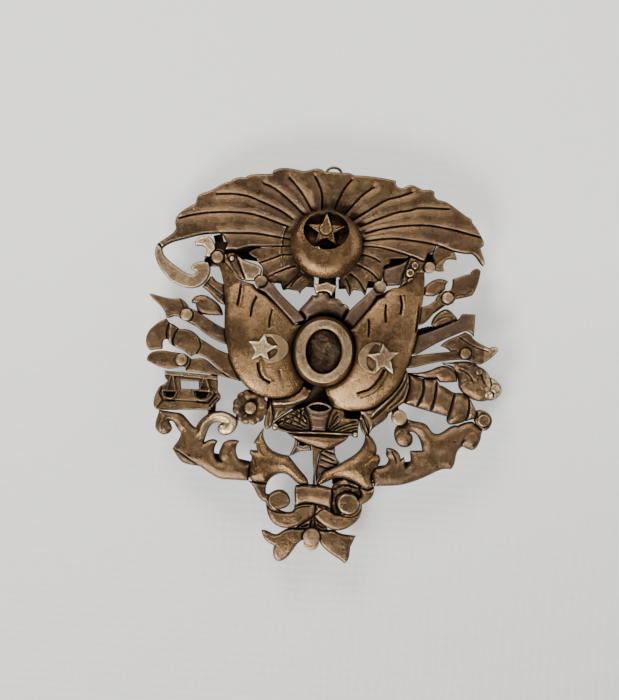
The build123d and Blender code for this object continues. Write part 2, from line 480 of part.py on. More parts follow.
keep("right_stalk", minus(slab(right_stalk_face, seat, 2.2), through(right_drape_face)))


# Vase, leaves, bar, bowl and struts in the lower middle

vase_face = outline((-2.75, -10.4), [(-1.7, -9.5), (-0.3, -9.05), (1.2, -9.3), (2.35, -10.1)],
                    [(1.75, -11.6), (1.45, -13), (1.35, -14.5)], [(-1.35, -14.55)],
                    [(-1.55, -13.3), (-1.9, -12.1), (-2.75, -10.4)])
vase_mouth = ellipse((-0.2, -10.2), (1.9, 0.65))
left_frond_face = outline((-8, -13.3), [(-6.8, -12.3), (-5.7, -11.5), (-4.4, -10.7), (-2.8, -10.2)],
                          [(-1.9, -12.1), (-1.3, -14.5)], [(-3, -14.65), (-4.5, -14.75),
                                                           (-6.2, -14.5), (-7.2, -14.1)],
                          [(-7.5, -13.6)])
right_frond_face = outline((1.7, -11.6), [(2, -10.7), (2.5, -10.1)], [(3.2, -10.2), (4.3, -10.5)],
                           [(4.75, -11.85)],
                           [(7.1, -11.9)], [(7.2, -13), (7.1, -14.1)], [(6.1, -14.35)], [(3, -14.45),
                                                                                         (1.35,
                                                                                          -14.45)],
                           [(1.45, -13), (1.7, -11.6)])
bar_face = outline(
    (-8.35, -13.9), [(-7.9, -13.35), (-7.4, -13.7), (-7.2, -14.15)],
    [(-6.2, -14.5), (-4.5, -14.75), (-2.5, -14.6), (0, -14.45), (3, -14.45), (6.1, -14.35)],
    [(6.1, -14.1)],
    [(7.1, -14.1)], [(7.1, -15.2)], [(6.2, -15.2)], [(6.1, -14.95)],
    [(3, -15), (0, -15.05), (-3, -15.15), (-5, -15.1), (-6.6, -14.85), (-7.4, -14.6)],
    [(-7.9, -14.85), (-8.35, -14.5), (-8.35, -13.9)])
bowl_face = outline((-5.7, -15.05), [(-4.5, -15.95), (-1.7, -17), (0.3, -17.55), (1.7, -17.65),
                                     (3.7, -16.8),
                                    (5.1, -15.7), (5.55, -15.0)], [(2, -14.9), (-2, -14.95),
                                                                   (-5.7, -15.05)])
strut_face = outline((-1.15, -17), [(-0.8, -18.7), (-0.72, -20), (-0.5, -21.3), (-0.47, -22.7)],
                     [(-0.5, -24.3)],
                     [(0, -24.3)], [(-0.05, -22.7), (0, -21.3), (0.15, -19.3), (0.35, -18.5),
                                    (0.9, -17.9)], [(0.9, -17.4)])
left_web_face = outline((-4.35, -15.9), [(-3.4, -16.2), (-1.2, -17)], [(-1, -18.1)],
                        [(-2, -18.15), (-3.3, -18.45), (-4.3, -19.1)], [(-5, -19.25)],
                        [(-4.65, -18.4), (-4.3, -17.5), (-4.35, -15.9)])
right_web_face = outline((0.8, -17.5), [(3.2, -17)], [(3.25, -18.3), (3.6, -19.2), (4.25, -19.95)],
                         [(3.4, -20.6), (2.3, -21.2), (1.4, -21.7), (0.8, -22.4), (0.15, -24.3)],
                         [(0, -22.7), (0.1, -20.5), (0.4, -18.6)])
keep("vase", minus(slab(vase_face, seat, 6) & ridge((-0.2, -9), (-0.2, -15), 2.4, 2.6, 3.6),
                   slab(vase_mouth, 2.4, 9), through(bar_face), *flag_footprints))
keep("left_frond", minus(slab(left_frond_face, seat, 2.2), through(vase_face),
                         through(left_drape_face),
                         through(bar_face), *flag_footprints))
keep("right_frond", minus(slab(right_frond_face, seat, 2.2), through(vase_face), through(bar_face),
                          *flag_footprints))
keep("swag_bar", slab(bar_face, seat, 3))
keep("swag_bowl", minus(slab(bowl_face, seat, 6) & ridge((-6, -15.6), (6, -15.6), 2.2, 2, 3.1),
                        through(bar_face)))
keep("centre_strut", minus(slab(strut_face, seat, 2.6), through(bowl_face)))
keep("left_web", minus(slab(left_web_face, seat, 1.8), through(bowl_face), through(strut_face)))
keep("right_web", minus(slab(right_web_face, seat, 1.8), through(bowl_face), through(strut_face)))


# Mantles, buckle band, scrolls and bow at the bottom

mantle_left_face = outline(
    (-9.9, -14.5), [(-10.6, -15.5), (-11, -16.3)], [(-11.4, -16.9), (-11.5, -17.3)], [(-11.05, -17.5)],
    [(-11, -18), (-10.8, -18.65)], [(-12.1, -18.6)], [(-12.15, -19.3)], [(-11.8, -19.7),
                                                                         (-11.85, -20.5)],
    [(-11.95, -21.1)], [(-12.05, -24.2)], [(-8.65, -24.5)],
    [(-7.9, -23.3), (-7, -22.7), (-5.5, -22.5), (-4.2, -23.3), (-3.2, -24.1)], [(-2.4, -24.3),
                                                                                (-1.2, -24.3)],
    [(-1.3, -23.7), (-2.9, -21.7), (-4.4, -20), (-5.1, -19.2)],
    [(-6.7, -19), (-8.6, -18.1), (-9.4, -17.1), (-9.85, -16), (-9.87, -14.9)])
mantle_right_face = outline(
    (9.05, -14.5), [(9.8, -15.2)], [(10.2, -15.8), (10.7, -17.3), (10.55, -18)],
    [(11.3, -18.4), (11.4, -19.2), (10.6, -20.45)], [(10, -21.5), (10.55, -23.85)],
    [(9, -24.4), (7.5, -23.5), (6, -22.9), (4.5, -22.6), (1.6, -23.7), (0.2, -24.3)],
    [(0.45, -23.3), (1.4, -21.7), (3.4, -20.6), (5, -19.6), (7.5, -17.6), (8.15, -16.5), (8.4, -14.7)])
buckle_face = outline((-3.5, -24.5), [(-1.76, -24.2), (0.8, -24.2), (3.05, -24.65)], [(3.1, -28.35)],
                      [(2, -27.9), (0.8, -27.6), (-0.8, -27.4), (-2.4, -27.7), (-3.6, -28.4)],
                      [(-3.5, -27), (-3.7, -25.4), (-3.5, -24.5)])
left_scroll_face = outline(
    (-12.05, -24.2), [(-11.2, -25), (-10.4, -26.4), (-8.7, -27.8)],
    [(-8.55, -28.8), (-7.4, -31.2), (-6.6, -31.8), (-5.3, -32.2), (-3, -31.8), (-0.8, -30.4),
     (0.1, -29.7)],
    [(0.3, -28.5), (0.2, -27.3)], [(-0.8, -27.3), (-2.4, -27.6), (-3.5, -28.4)],
    [(-3.9, -29.2), (-4.8, -29.4), (-6.4, -28.95)],
    [(-5.6, -28.75), (-4.35, -27.7), (-4.5, -26.7), (-5.8, -25.5), (-7.5, -25.8), (-8.2, -26.4)],
    [(-8.75, -26.3)],
    [(-8.85, -25.4), (-8.65, -24.5)])
right_scroll_face = outline(
    (10.55, -23.85), [(10.2, -25.9), (9.4, -26.7), (8.6, -27.2)],
    [(8.6, -28.4), (8.25, -29.6), (6.9, -31.1), (4.8, -32.1), (2.4, -31.6), (0.1, -29.7)],
    [(0.3, -28.5), (0.2, -27.3)],
    [(0.8, -27.5), (2, -27.8), (3.1, -28.4)], [(3.6, -29.1), (4.6, -29.3), (5.7, -29.1)],
    [(4.3, -28.2), (3.95, -27.2), (4, -26.1), (4.8, -25.4), (6.1, -25.2), (7.2, -25.5), (7.8, -26.2)],
    [(8.4, -25.6), (8.3, -24.9), (7.9, -24.2)], [(9, -24.4)])
scroll_leaf_face = outline(
    (3, -24.5), [(4.5, -22.8), (5.6, -22.6)], [(8.3, -23.6)], [(8.6, -25.8)],
    [(7.6, -26.3)], [(5, -27)], [(5.4, -28.9)], [(4.6, -29.3), (3.6, -29.2), (3.1, -28.4)])
left_acanthus_face = outline(
    (-28.9, -12.4), [(-29.35, -14.4), (-29.4, -15.3), (-28.4, -16.6), (-27.5, -16.75), (-26.4, -15.6)],
    [(-26.6, -15), (-27, -14.4)], [(-26.4, -14.3), (-25.3, -15.7), (-24.8, -16.1)],
    [(-24.75, -16.6), (-25.4, -18.1), (-26.05, -19.2)], [(-24.9, -20.8), (-24.3, -21.4),
                                                         (-22, -21.95), (-20.9, -22.1)],
    [(-20.1, -22.6), (-17.7, -23.9), (-16.7, -24.15)], [(-12.05, -24.15)], [(-11.95, -21.1)],
    [(-13.6, -20.8), (-14.65, -18.9), (-14.1, -17.2)], [(-15.1, -16.95), (-17, -17.6)],
    [(-17.4, -18.5), (-17.65, -19.6), (-17.1, -20.95)], [(-17.9, -20.7), (-18.5, -19.7),
                                                         (-18.5, -18.6), (-18, -17.5)],
    [(-18.8, -17.1), (-19.7, -17.3), (-20.5, -17.7)],
    [(-19.9, -15.5), (-18.9, -14.15), (-18, -14), (-17.4, -14.15)],
    [(-18.1, -14.7), (-18.1, -15.5), (-16.7, -16.2), (-15.05, -15.2), (-14.9, -12.95)],
    [(-15.9, -12.4), (-17.7, -11.9), (-19.7, -12.4), (-21.5, -14), (-22.1, -15.2)],
    [(-22.9, -14.7), (-24.7, -12.95), (-25.6, -12.7)])
right_acanthus_face = outline(
    (15.8, -11.3), [(17.5, -11.7), (19.4, -12.2), (20.6, -13.5), (21.4, -13.7), (23.2, -12.65),
                    (25.1, -12)],
    [(26.5, -11.3), (27.6, -11.1)], [(28.6, -11.9), (29.5, -12.7)], [(29.25, -13.3)],
    [(29, -14.9), (27.9, -16.2), (26.9, -16.05), (26.1, -15.7)], [(25.1, -16.9), (24.9, -18.1),
                                                                  (24.2, -19.9)],
    [(22.7, -20), (20.5, -21.1), (17.6, -22.5), (14.7, -23.4), (12.5, -23.6), (10.6, -23.8)],
    [(10, -21.5)],
    [(10.7, -20.4)], [(11.9, -20.2), (12.6, -19.7), (12.9, -18.8)], [(12.4, -18.1)], [(12.4, -16.85)],
    [(13.2, -16.8), (14.1, -17.1), (15.1, -18.7)], [(15.7, -18.2)], [(16, -20.1)], [(16.4, -19.7),
                                                                                    (16.9, -18.7)],
    [(16.7, -17.05)], [(18.9, -16.85)], [(18.6, -15.7), (17.6, -14), (16.9, -13.6), (16.3, -13.7)],
    [(16.9, -14.3), (16.7, -16), (16, -16.4), (15, -16.4), (13.7, -14.6), (14.1, -12.7)])
keep("left_mantle", minus(slab(mantle_left_face, seat, 6) & ridge((-11, -16), (-3, -24), 5, 2, 3.8),
                          through(left_web_face), through(strut_face), through(buckle_face),
                          through(stalk_face),
                          through(bar_face)))
keep("right_mantle", minus(slab(mantle_right_face, seat, 6) & ridge((10, -16), (2.5, -24), 5, 2, 3.8),
                           through(right_web_face), through(strut_face), through(buckle_face),
                           through(right_drape_face), through(right_stalk_face)))
keep("buckle_band", minus(slab(buckle_face, seat, 6) & ridge((-5, -25.9), (5, -25.9), 2.2, 2.8, 4),
                          through(strut_face)))
keep("left_scroll", minus(slab(left_scroll_face, seat, 3.2), through(buckle_face),
                          through(mantle_left_face)))
keep("right_scroll", minus(slab(right_scroll_face, seat, 3.2), through(buckle_face),
                           through(mantle_right_face),
                           through(left_scroll_face)))
keep("scroll_leaf", minus(slab(scroll_leaf_face, seat, 1.8), through(buckle_face),
                          through(mantle_right_face),
                          through(right_scroll_face)))
keep("left_acanthus", minus(slab(left_acanthus_face, seat, 6) & ridge((-28, -15), (-12, -22),
     7, 2, 3.4),
                            through(tablet_face), through(mantle_left_face),
                            through(left_scroll_face)))
keep("right_acanthus", minus(slab(right_acanthus_face, seat, 6) & ridge((28, -14), (11, -22),
     7, 2, 3.4),
                             rivet_heads[9], through(mantle_right_face), through(right_scroll_face)))

knot_face = outline((0, -29.6), [(0.7, -30.5), (2.4, -31.5)], [(2.9, -32.3)], [(-3.2, -32.2)],
                    [(-1.8, -31.1), (0, -29.6)])
left_tail_face = outline((-5, -32.6), [(-4.3, -32.3), (-3.2, -32.1), (-1.6, -32.2)], [(0, -32.3)],
                         [(0, -34.4)],
                         [(-1.8, -34.3), (-3.4, -36.3), (-5.6, -38.3)], [(-6.15, -38.2), (-6.85, -36),
                                                                         (-6.75, -35.5)],
                         [(-8.5, -34.4), (-9.2, -33)], [(-8.8, -32.9), (-7, -33.5), (-5.9, -33.25)])
right_tail_face = outline((0, -32.3), [(1.6, -32.2), (4, -32.15)], [(5, -32.65), (6.1, -32.85),
                          (7.85, -32.95)],
                          [(7.4, -34), (7, -34.9)], [(6.95, -36), (6.7, -37.3), (6.1, -38)],
                          [(4.6, -37), (2.1, -35.3), (1.4, -34.4)], [(0, -34.4)])
medal_footprint = through(disc(medal_at, medal_radius))
lower_medal_footprint = through(disc(lower_medal_at, lower_medal_radius))
scroll_footprints = [through(left_scroll_face), through(right_scroll_face)]
keep("ribbon_knot", minus(slab(knot_face, seat, 2.2), medal_footprint, *scroll_footprints))
keep("left_tail", minus(slab(left_tail_face, seat, 5) & ridge((-8, -35.5), (0, -33), 3.4, 2, 2.9),
                        medal_footprint,
                        lower_medal_footprint, through(knot_face), *scroll_footprints))
keep("right_tail", minus(slab(right_tail_face, seat, 5) & ridge((8, -35.5), (0, -33), 3.4, 2, 2.9),
                         medal_footprint,
                         lower_medal_footprint, through(knot_face), *scroll_footprints))
keep("medal", slab(disc(medal_at, medal_radius), seat, 3.6))
keep("lower_medal", minus(slab(disc(lower_medal_at, lower_medal_radius), seat, 2.6), medal_footprint))


# The arms behind the right flag

flame_face = outline(
    (22.5, 14.3), [(23.9, 14.9), (25.6, 15.45)], [(25.9, 16), (26.5, 16.4), (27.2, 16.2),
                                                  (27.4, 15.9)],
    [(27.25, 14.8), (26.6, 12.4), (26.1, 11.5)], [(24.3, 10.95), (23.2, 10.7)], [(22.7, 9.9)],
    [(21.9, 9.45)],
    [(21.3, 9.5), (18.9, 7.2), (16.9, 5.7)], [(16.5, 7.5)], [(17, 8.9)], [(18.3, 9.35), (19.6, 10.3)],
    [(20.3, 11.6), (21.3, 12.15)], [(22.3, 12.5), (22.5, 13.2), (22.5, 14.3)])
right_slip_face = outline((17.2, 12), [(18.3, 13.4), (19.9, 14.2), (20.8, 14.2), (21.75, 13.8)],
                          [(21.35, 13.2), (21.3, 12.4)], [(20.7, 11.9), (19.3, 11)], [(18.1, 10.95)],
                          [(17.1, 11.2)])
right_leaf_face = outline((19.1, 5.9), [(19.3, 6.8), (20.5, 8.3), (21.7, 8.85), (23.1, 8),
                                        (23.7, 7.4)], [(23.7, 6.9)],
                          [(21.7, 6.05), (19.9, 5.3)])
flat_bar_face = outline((15.5, 3.4), [(17.7, 4.1)], [(19.9, 5.05), (21.5, 5.8), (23.9, 7)],
                        [(24.6, 8.15)],
                        [(26.95, 8.2)], [(26.9, 4.2)], [(25.4, 5.05), (24.3, 4.65), (20.2, 2.5),
                                                        (16.8, 0.3)], [(15, 0.3)])
lance_face = outline(
    (15, -0.4), [(16.7, 0.2), (18.3, 0.5), (21.5, 1.05), (22.9, 1.2)], [(22, 1.85), (21, 2.1)],
    [(21.5, 2.7), (24.5, 4.4), (25.3, 4.9)], [(26.4, 4.4)], [(26.85, 3.75)], [(28.3, 2.9),
                                                                              (29.9, 2.3)],
    [(31.2, 2.4), (31.4, 1.9)], [(30.3, 0.6), (28.3, -0.8)], [(27.6, -0.7)],
    [(26.3, -0.2), (24.5, -0.15), (21.3, -0.65), (18.3, -1.45), (16.9, -1.9), (14.8, -2.2)])
horn_face = outline(
    (21.4, -0.75), [(24.1, -0.5), (25.8, -0.3), (28.1, -1.1)], [(29, -1.5), (30.3, -2.95)],
    [(31.9, -3.9), (32.5, -4.9), (32, -6.3), (30.07, -7.1)], [(28.6, -7.4), (27.4, -7.15),
                                                              (25.1, -5.6), (24.7, -4.9)],
    [(24.6, -4), (24.4, -3.1), (23.1, -1.55), (21.9, -1.25)])
helmet_face = outline(
    (15, -2.95), [(18, -2.75), (20, -2.05)], [(21, -1.55), (22.1, -1.35), (23.9, -2.35), (24.4, -4.1)],
    [(22.8, -4.35), (21.3, -4.4)], [(20.6, -3.75)], [(18.3, -3.85), (17, -3.6), (14.8, -3)])
cannon_face = outline(
    (14.5, -3), [(16.2, -3.2), (18.3, -3.9), (19.5, -3.7), (20.6, -3.8)], [(21.3, -4.9)],
    [(22.7, -5.45), (24, -6.05), (24.9, -6.05)], [(26.3, -6.5), (27.1, -7.3)], [(27.6, -8.2),
                                                                                (28.1, -9.1)],
    [(28.2, -10), (27.9, -10.6)], [(26.2, -11.2), (24.8, -11.7), (23.5, -11.9)], [(22.95, -11.3),
                                                                                  (23, -10.5)],
    [(20.1, -9.85), (16.9, -9.1), (14.6, -8.4)])
knob_face = outline((28, -9.2), [(29.4, -9), (30.95, -10.2), (31, -11.3), (29.9, -12.6),
                                 (28.3, -11.7), (27.8, -10.6),
                                 (28, -9.2)])
cannon_bands = [[(18.2, -4.2), (18.3, -6.5), (17.3, -8.9)], [(20.7, -5), (20.4, -7.5), (19.8, -9.7)],
                [(24.1, -6.2), (23.6, -8.2), (23.1, -10.4)], [(26.7, -7.6), (26.7, -9.2), (26.3, -11)]]
keep("flame_spear", minus(slab(flame_face, seat, 5) & ridge((26.8, 16), (17, 7.4), 3, 2, 2.9),
                          rivet_heads[7],
                          *flag_footprints))
keep("right_slip", minus(slab(right_slip_face, seat, 2.2), rivet_heads[7], through(flame_face),
                         *flag_footprints))
keep("flat_bar", minus(slab(flat_bar_face, seat, 2.6), through(lance_face), *flag_footprints))
keep("right_leaf", minus(slab(right_leaf_face, seat, 2.2), through(flat_bar_face)))
keep("lance", minus(slab(lance_face, seat, 5) & ridge((31, 1.6), (15, -0.8), 3.4, 2, 2.8),
                    rivet_heads[8],
                    *flag_footprints))
keep("horn", minus(slab(horn_face, seat, 6) & ridge((22, -1.5), (31, -5.5), 3, 2, 3.4),
                   through(lance_face)))
keep("helmet", minus(slab(helmet_face, seat, 5) & dome((21.6, -3.4), 6.8, 1.8, 2.9),
                     through(horn_face),
                     through(lance_face), through(right_drape_face), *flag_footprints))
cannon_cuts = [groove(points, 2.2, 0.3) for points in cannon_bands]
keep("cannon", minus(slab(cannon_face, seat, 6) & ridge((14, -5.6), (28.5, -9), 3.6, 1.9, 3.8),
                     through(horn_face),
                     through(helmet_face), through(right_acanthus_face), through(right_drape_face),
                     rivet_heads[9],
                     *flag_footprints, *cannon_cuts))
keep("cannon_knob", minus(slab(knob_face, seat, 5) & dome((29.5, -10.7), 1.9, 2.2, 3.2),
                          through(cannon_face),
                          through(right_acanthus_face)))


# Rivets, and the plate and strips that carry everything

rivet_solids = []
for x, z, radius in rivets_at:
    head = slab(disc((x, z), radius), seat, rivet_face)
    rivet_solids.append(head + slab(disc((x, z), rivet_shank), 0, seat))
keep("rivets", Compound(children=rivet_solids))

centre_face = outline((-16.2, 10), [(-12, 9.3)], [(-5.5, 4)], [(-3.5, 6.8)], [(-2, 9)], [(2, 9)],
                      [(3.2, 7)], [(5.2, 4.2)],
                      [(9.6, 10.2)], [(15.8, 12)], [(15.3, 3)], [(13, -5)], [(8, -9.2)],
                      [(6.8, -13.8)], [(-4.6, -13.8)],
                      [(-4.2, -11.4)], [(-8.4, -8.6)], [(-13.5, -6)], [(-16, -2.5)], [(-16.9, 3)])
centre_plate = keep("centre_plate", slab(centre_face, 0, seat))
strips_at = [
    ((0, 8.5), (-0.2, 30.1), 3.2), ((-1.7, 22.3), (-27, 20.8), 2), ((1.4, 22.3), (25.5, 20.8), 2),
    ((-20.3, 19.8), (-17.4, 9.2), 1.6), ((-15.5, 0.6), (-26, 5.2), 1.8), ((-15.5, -3.2), (-27, 0.8),
                                                                          2),
    ((-23, -4), (-27.5, -3.2), 1.5), ((-19.4, -4.6), (-19.4, -13.6), 1.2), ((-11.8, -6.5),
                                                                            (-12.5, -12.8), 1.6),
    ((-9.1, -8.6), (-9.1, -14.2), 1), ((-24.2, -19.6), (-11, -21.8), 1.8), ((-10.3, -19.8),
                                                                            (-9.6, -26), 1.4),
    ((-3.2, -26), (2.9, -26.1), 2.4), ((-0.2, -27.3), (-0.1, -35.2), 1.6), ((24, -18.4),
                                                                            (10.9, -21.2), 1.8),
    ((9.4, -16.5), (9.6, -26.2), 1.4), ((3, -23.3), (8.8, -22.9), 1.2), ((-9, -21.2), (-2.9, -22.6),
                                                                         1.2),
    ((15, 5.4), (22.2, 11.2), 1.8), ((14.5, 2.8), (26, 6.4), 1.8), ((14.5, -0.9), (29, 1.4), 1.3),
    ((13.5, -5.2), (26.8, -9.3), 2), ((24, -2.2), (31, -5.6), 1.6), ((12.6, -6.2), (14.2, -12), 1.4),
    ((-0.3, -13), (-0.3, -17), 1.4), ((8, 6.5), (17.9, 16.6), 1.2),
    ((-20.8, 17.5), (-9.6, 16.4), 2.6), ((18.9, 17.5), (9.2, 16.4), 2.4),
    ((-10.6, 12.7), (-2.4, 12.2), 1.8), ((2, 12.2), (9.2, 12.9), 1.8),
]
laid = []
for start, end, width in strips_at:
    laid.append(minus(strip(start, end, width), centre_plate, *laid, *rivet_holes))
keep("solder_strips", Compound(children=[solid for piece in laid for solid in piece.solids()]))
pieces["centre_plate"] = minus(centre_plate, *rivet_holes)


# What holds the badge on the cap, and the ring at the top

eye = Plane(origin=(0, cotter_y, 0), z_dir=(1, 0, 0)) * Cylinder(cotter_radius + running_gap, 60)
for name, x in (("left_shank", -shank_x), ("right_shank", shank_x)):
    post = Plane(origin=(x, 0, 0), z_dir=(0, 1, 0)) * Cylinder(
        shank_radius, shank_length, align=(Align.CENTER, Align.CENTER, Align.MIN))
    post = chamfer(post.edges().sort_by(Axis.Y)[-1], 0.25)
    collar = Plane(origin=(x, 0, 0), z_dir=(0, 1, 0)) * Cylinder(
        collar_radius, collar_length, align=(Align.CENTER, Align.CENTER, Align.MIN))
    keep(name, post + collar - eye)

pin = Plane(origin=(0, cotter_y, 0), z_dir=(1, 0, 0)) * Cylinder(cotter_radius, 2 * cotter_reach)
pin = chamfer(pin.edges().sort_by(Axis.X)[0], 0.3)
loop_spot = Pos(cotter_reach + cotter_loop, cotter_y, 0) * Rot(90, 0, 0)
keep("cotter_pin", pin + loop_spot * Torus(cotter_loop, cotter_radius))

ring_plane = Plane(origin=at(0, ring_axis_z, ring_depth), x_dir=(1, 0, 0), z_dir=(0, -1, 0))
ring_corners = [(-ring_half_width, 0), (ring_half_width, 0), (ring_half_width, ring_height),
                (-ring_half_width, ring_height)]
ring_path = ring_plane * FilletPolyline(*ring_corners, radius=[0.35, 0.35, 1.39, 1.39], close=True)
bar_middle = Plane(origin=at(0, ring_axis_z, ring_depth), z_dir=(1, 0, 0))
keep("top_ring", sweep(bar_middle * Circle(ring_wire), path=ring_path))
barrel_radius = ring_wire + running_gap + staple_wall
staple = bar_middle * Cylinder(barrel_radius, staple_length)
foot = Pos(*at(0, ring_axis_z, (ring_depth + seat) / 2)) * Box(staple_length, seat - ring_depth,
                                                               2 * barrel_radius)
keep("ring_staple", minus(staple + foot, bar_middle * Cylinder(ring_wire + running_gap,
     2 * staple_length)))


# Stampings made up of several parts that touch

stampings = {
    "comma_curl": ["comma_curl", "left_link"],
    "scales_tablet": ["tablet", "scales"],
    "vase": ["vase", "left_frond", "right_frond"],
    "swag": ["swag_bar", "swag_bowl"],
    "centre_web": ["centre_strut", "left_web", "right_web"],
    "right_drape": ["right_drape", "right_stalk"],
    "right_scroll": ["right_scroll", "scroll_leaf"],
    "bow": ["ribbon_knot", "left_tail", "right_tail"],
    "medals": ["medal", "lower_medal"],
    "cannon": ["cannon", "cannon_knob"],
}
for name, parts in stampings.items():
    solids = [solid for part in parts for solid in pieces.pop(part).solids()]
    pieces[name] = Compound(children=solids)

os.makedirs("parts", exist_ok=True)
for name, solid in pieces.items():
    export_step(solid, f"parts/{name}.step")
print(len(pieces), "pieces")
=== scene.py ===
import math

import bpy
import bmesh
import numpy as np
from mathutils import Matrix, Vector, kdtree, noise
from mathutils.geometry import delaunay_2d_cdt


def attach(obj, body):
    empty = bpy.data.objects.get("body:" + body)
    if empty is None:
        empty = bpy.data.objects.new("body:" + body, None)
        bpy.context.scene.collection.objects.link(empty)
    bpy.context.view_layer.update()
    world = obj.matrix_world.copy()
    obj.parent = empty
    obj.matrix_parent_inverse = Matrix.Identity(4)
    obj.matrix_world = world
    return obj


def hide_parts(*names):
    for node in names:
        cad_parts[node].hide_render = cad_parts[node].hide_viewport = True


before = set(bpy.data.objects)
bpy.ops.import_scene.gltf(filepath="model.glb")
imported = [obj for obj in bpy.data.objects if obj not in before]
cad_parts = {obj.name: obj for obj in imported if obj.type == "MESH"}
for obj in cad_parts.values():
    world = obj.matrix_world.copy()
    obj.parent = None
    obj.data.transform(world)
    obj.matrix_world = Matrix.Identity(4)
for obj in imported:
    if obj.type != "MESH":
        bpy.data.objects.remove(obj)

for leftover in ("Cube", "Light", "Camera"):
    if leftover in bpy.data.objects:
        bpy.data.objects.remove(bpy.data.objects[leftover])
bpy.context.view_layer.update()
mm = 0.001
scene = bpy.context.scene


# metal finishes: colours are linear, scales are in patterns per millimetre

# the grime tone is a dark colour used both for patina in hollows and for painted shade in crevices, gaps
# between pieces and on side walls
finishes = {
    "agedBrass": {"base": (0.105, 0.060, 0.028), "dark": (0.052, 0.029, 0.015), "worn": (0.52, 0.38, 0.22),
                  "grimeAndShade": (0.006, 0.004, 0.003), "rough": 0.29, "roughSpread": 0.16, "specks": 0.45,
                  "wornFrom": 0.26, "wornTo": 1.5, "slot": "aged_brass"},
    "flagBrass": {"base": (0.150, 0.085, 0.036), "dark": (0.072, 0.038, 0.016), "worn": (0.50, 0.34, 0.17),
                  "grimeAndShade": (0.006, 0.004, 0.003), "rough": 0.25, "roughSpread": 0.12, "specks": 0.2,
                  "wornFrom": 0.32, "wornTo": 1.7, "slot": "flag_brass"},
    "dullBrass": {"base": (0.100, 0.060, 0.036), "dark": (0.054, 0.032, 0.019), "worn": (0.42, 0.31, 0.20),
                  "grimeAndShade": (0.006, 0.004, 0.003), "rough": 0.34, "roughSpread": 0.14, "specks": 0.3,
                  "wornFrom": 0.3, "wornTo": 1.6, "slot": "aged_brass"},
    "paleBrass": {"base": (0.215, 0.138, 0.072), "dark": (0.095, 0.056, 0.028), "worn": (0.82, 0.64, 0.40),
                  "grimeAndShade": (0.010, 0.006, 0.004), "rough": 0.33, "roughSpread": 0.2, "specks": 0.95,
                  "wornFrom": 0.07, "wornTo": 0.9, "slot": "pale_brass"},
    "fieldBrass": {"base": (0.095, 0.056, 0.028), "dark": (0.035, 0.022, 0.014), "worn": (0.40, 0.26, 0.11),
                   "grimeAndShade": (0.010, 0.006, 0.004), "rough": 0.42, "roughSpread": 0.25, "specks": 0.5,
                   "wornFrom": 0.10, "wornTo": 0.8, "slot": "field_brass"},
    "backBrass": {"base": (0.085, 0.054, 0.031), "dark": (0.042, 0.027, 0.017), "worn": (0.30, 0.22, 0.13),
                  "grimeAndShade": (0.012, 0.008, 0.006), "rough": 0.52, "roughSpread": 0.2, "specks": 0.4,
                  "wornFrom": 0.3, "wornTo": 1.2, "slot": "back_brass"},
    "ringBrass": {"base": (0.130, 0.082, 0.045), "dark": (0.065, 0.039, 0.023), "worn": (0.45, 0.34, 0.21),
                  "grimeAndShade": (0.015, 0.010, 0.007), "rough": 0.35, "roughSpread": 0.15, "specks": 0.2,
                  "wornFrom": 0.3, "wornTo": 1.0, "slot": "ring_wire"},
    "steelWire": {"base": (0.300, 0.290, 0.275), "dark": (0.160, 0.140, 0.120), "worn": (0.55, 0.54, 0.52),
                  "grimeAndShade": (0.060, 0.040, 0.025), "rough": 0.34, "roughSpread": 0.15, "specks": 0.25,
                  "wornFrom": 0.3, "wornTo": 1.0, "slot": "steel_wire"},
}


def addNode(tree, kind, inputs=None, **values):
    node = tree.nodes.new(kind)
    for key, value in values.items():
        setattr(node, key, value)
    for key, value in (inputs or {}).items():
        node.inputs[key].default_value = value
    return node


def mixColour(tree, factor, first, second, blend="MIX"):
    node = addNode(tree, "ShaderNodeMix", data_type="RGBA", blend_type=blend)
    for index, value in ((0, factor), (6, first), (7, second)):
        if hasattr(value, "is_linked") or hasattr(value, "links"):
            tree.links.new(value, node.inputs[index])
        else:
            node.inputs[index].default_value = value if index == 0 else (*value, 1)
    return node.outputs[2]


def rampMask(tree, value, low, high):
    node = addNode(tree, "ShaderNodeMapRange", {"From Min": low, "From Max": high}, clamp=True,
                   interpolation_type="SMOOTHSTEP")
    tree.links.new(value, node.inputs["Value"])
    return node.outputs["Result"]


def joinMasks(tree, first, second, how="MAXIMUM"):
    node = addNode(tree, "ShaderNodeMath", operation=how)
    for index, value in enumerate((first, second)):
        if isinstance(value, (int, float)):
            node.inputs[index].default_value = value
        else:
            tree.links.new(value, node.inputs[index])
    return node.outputs[0]


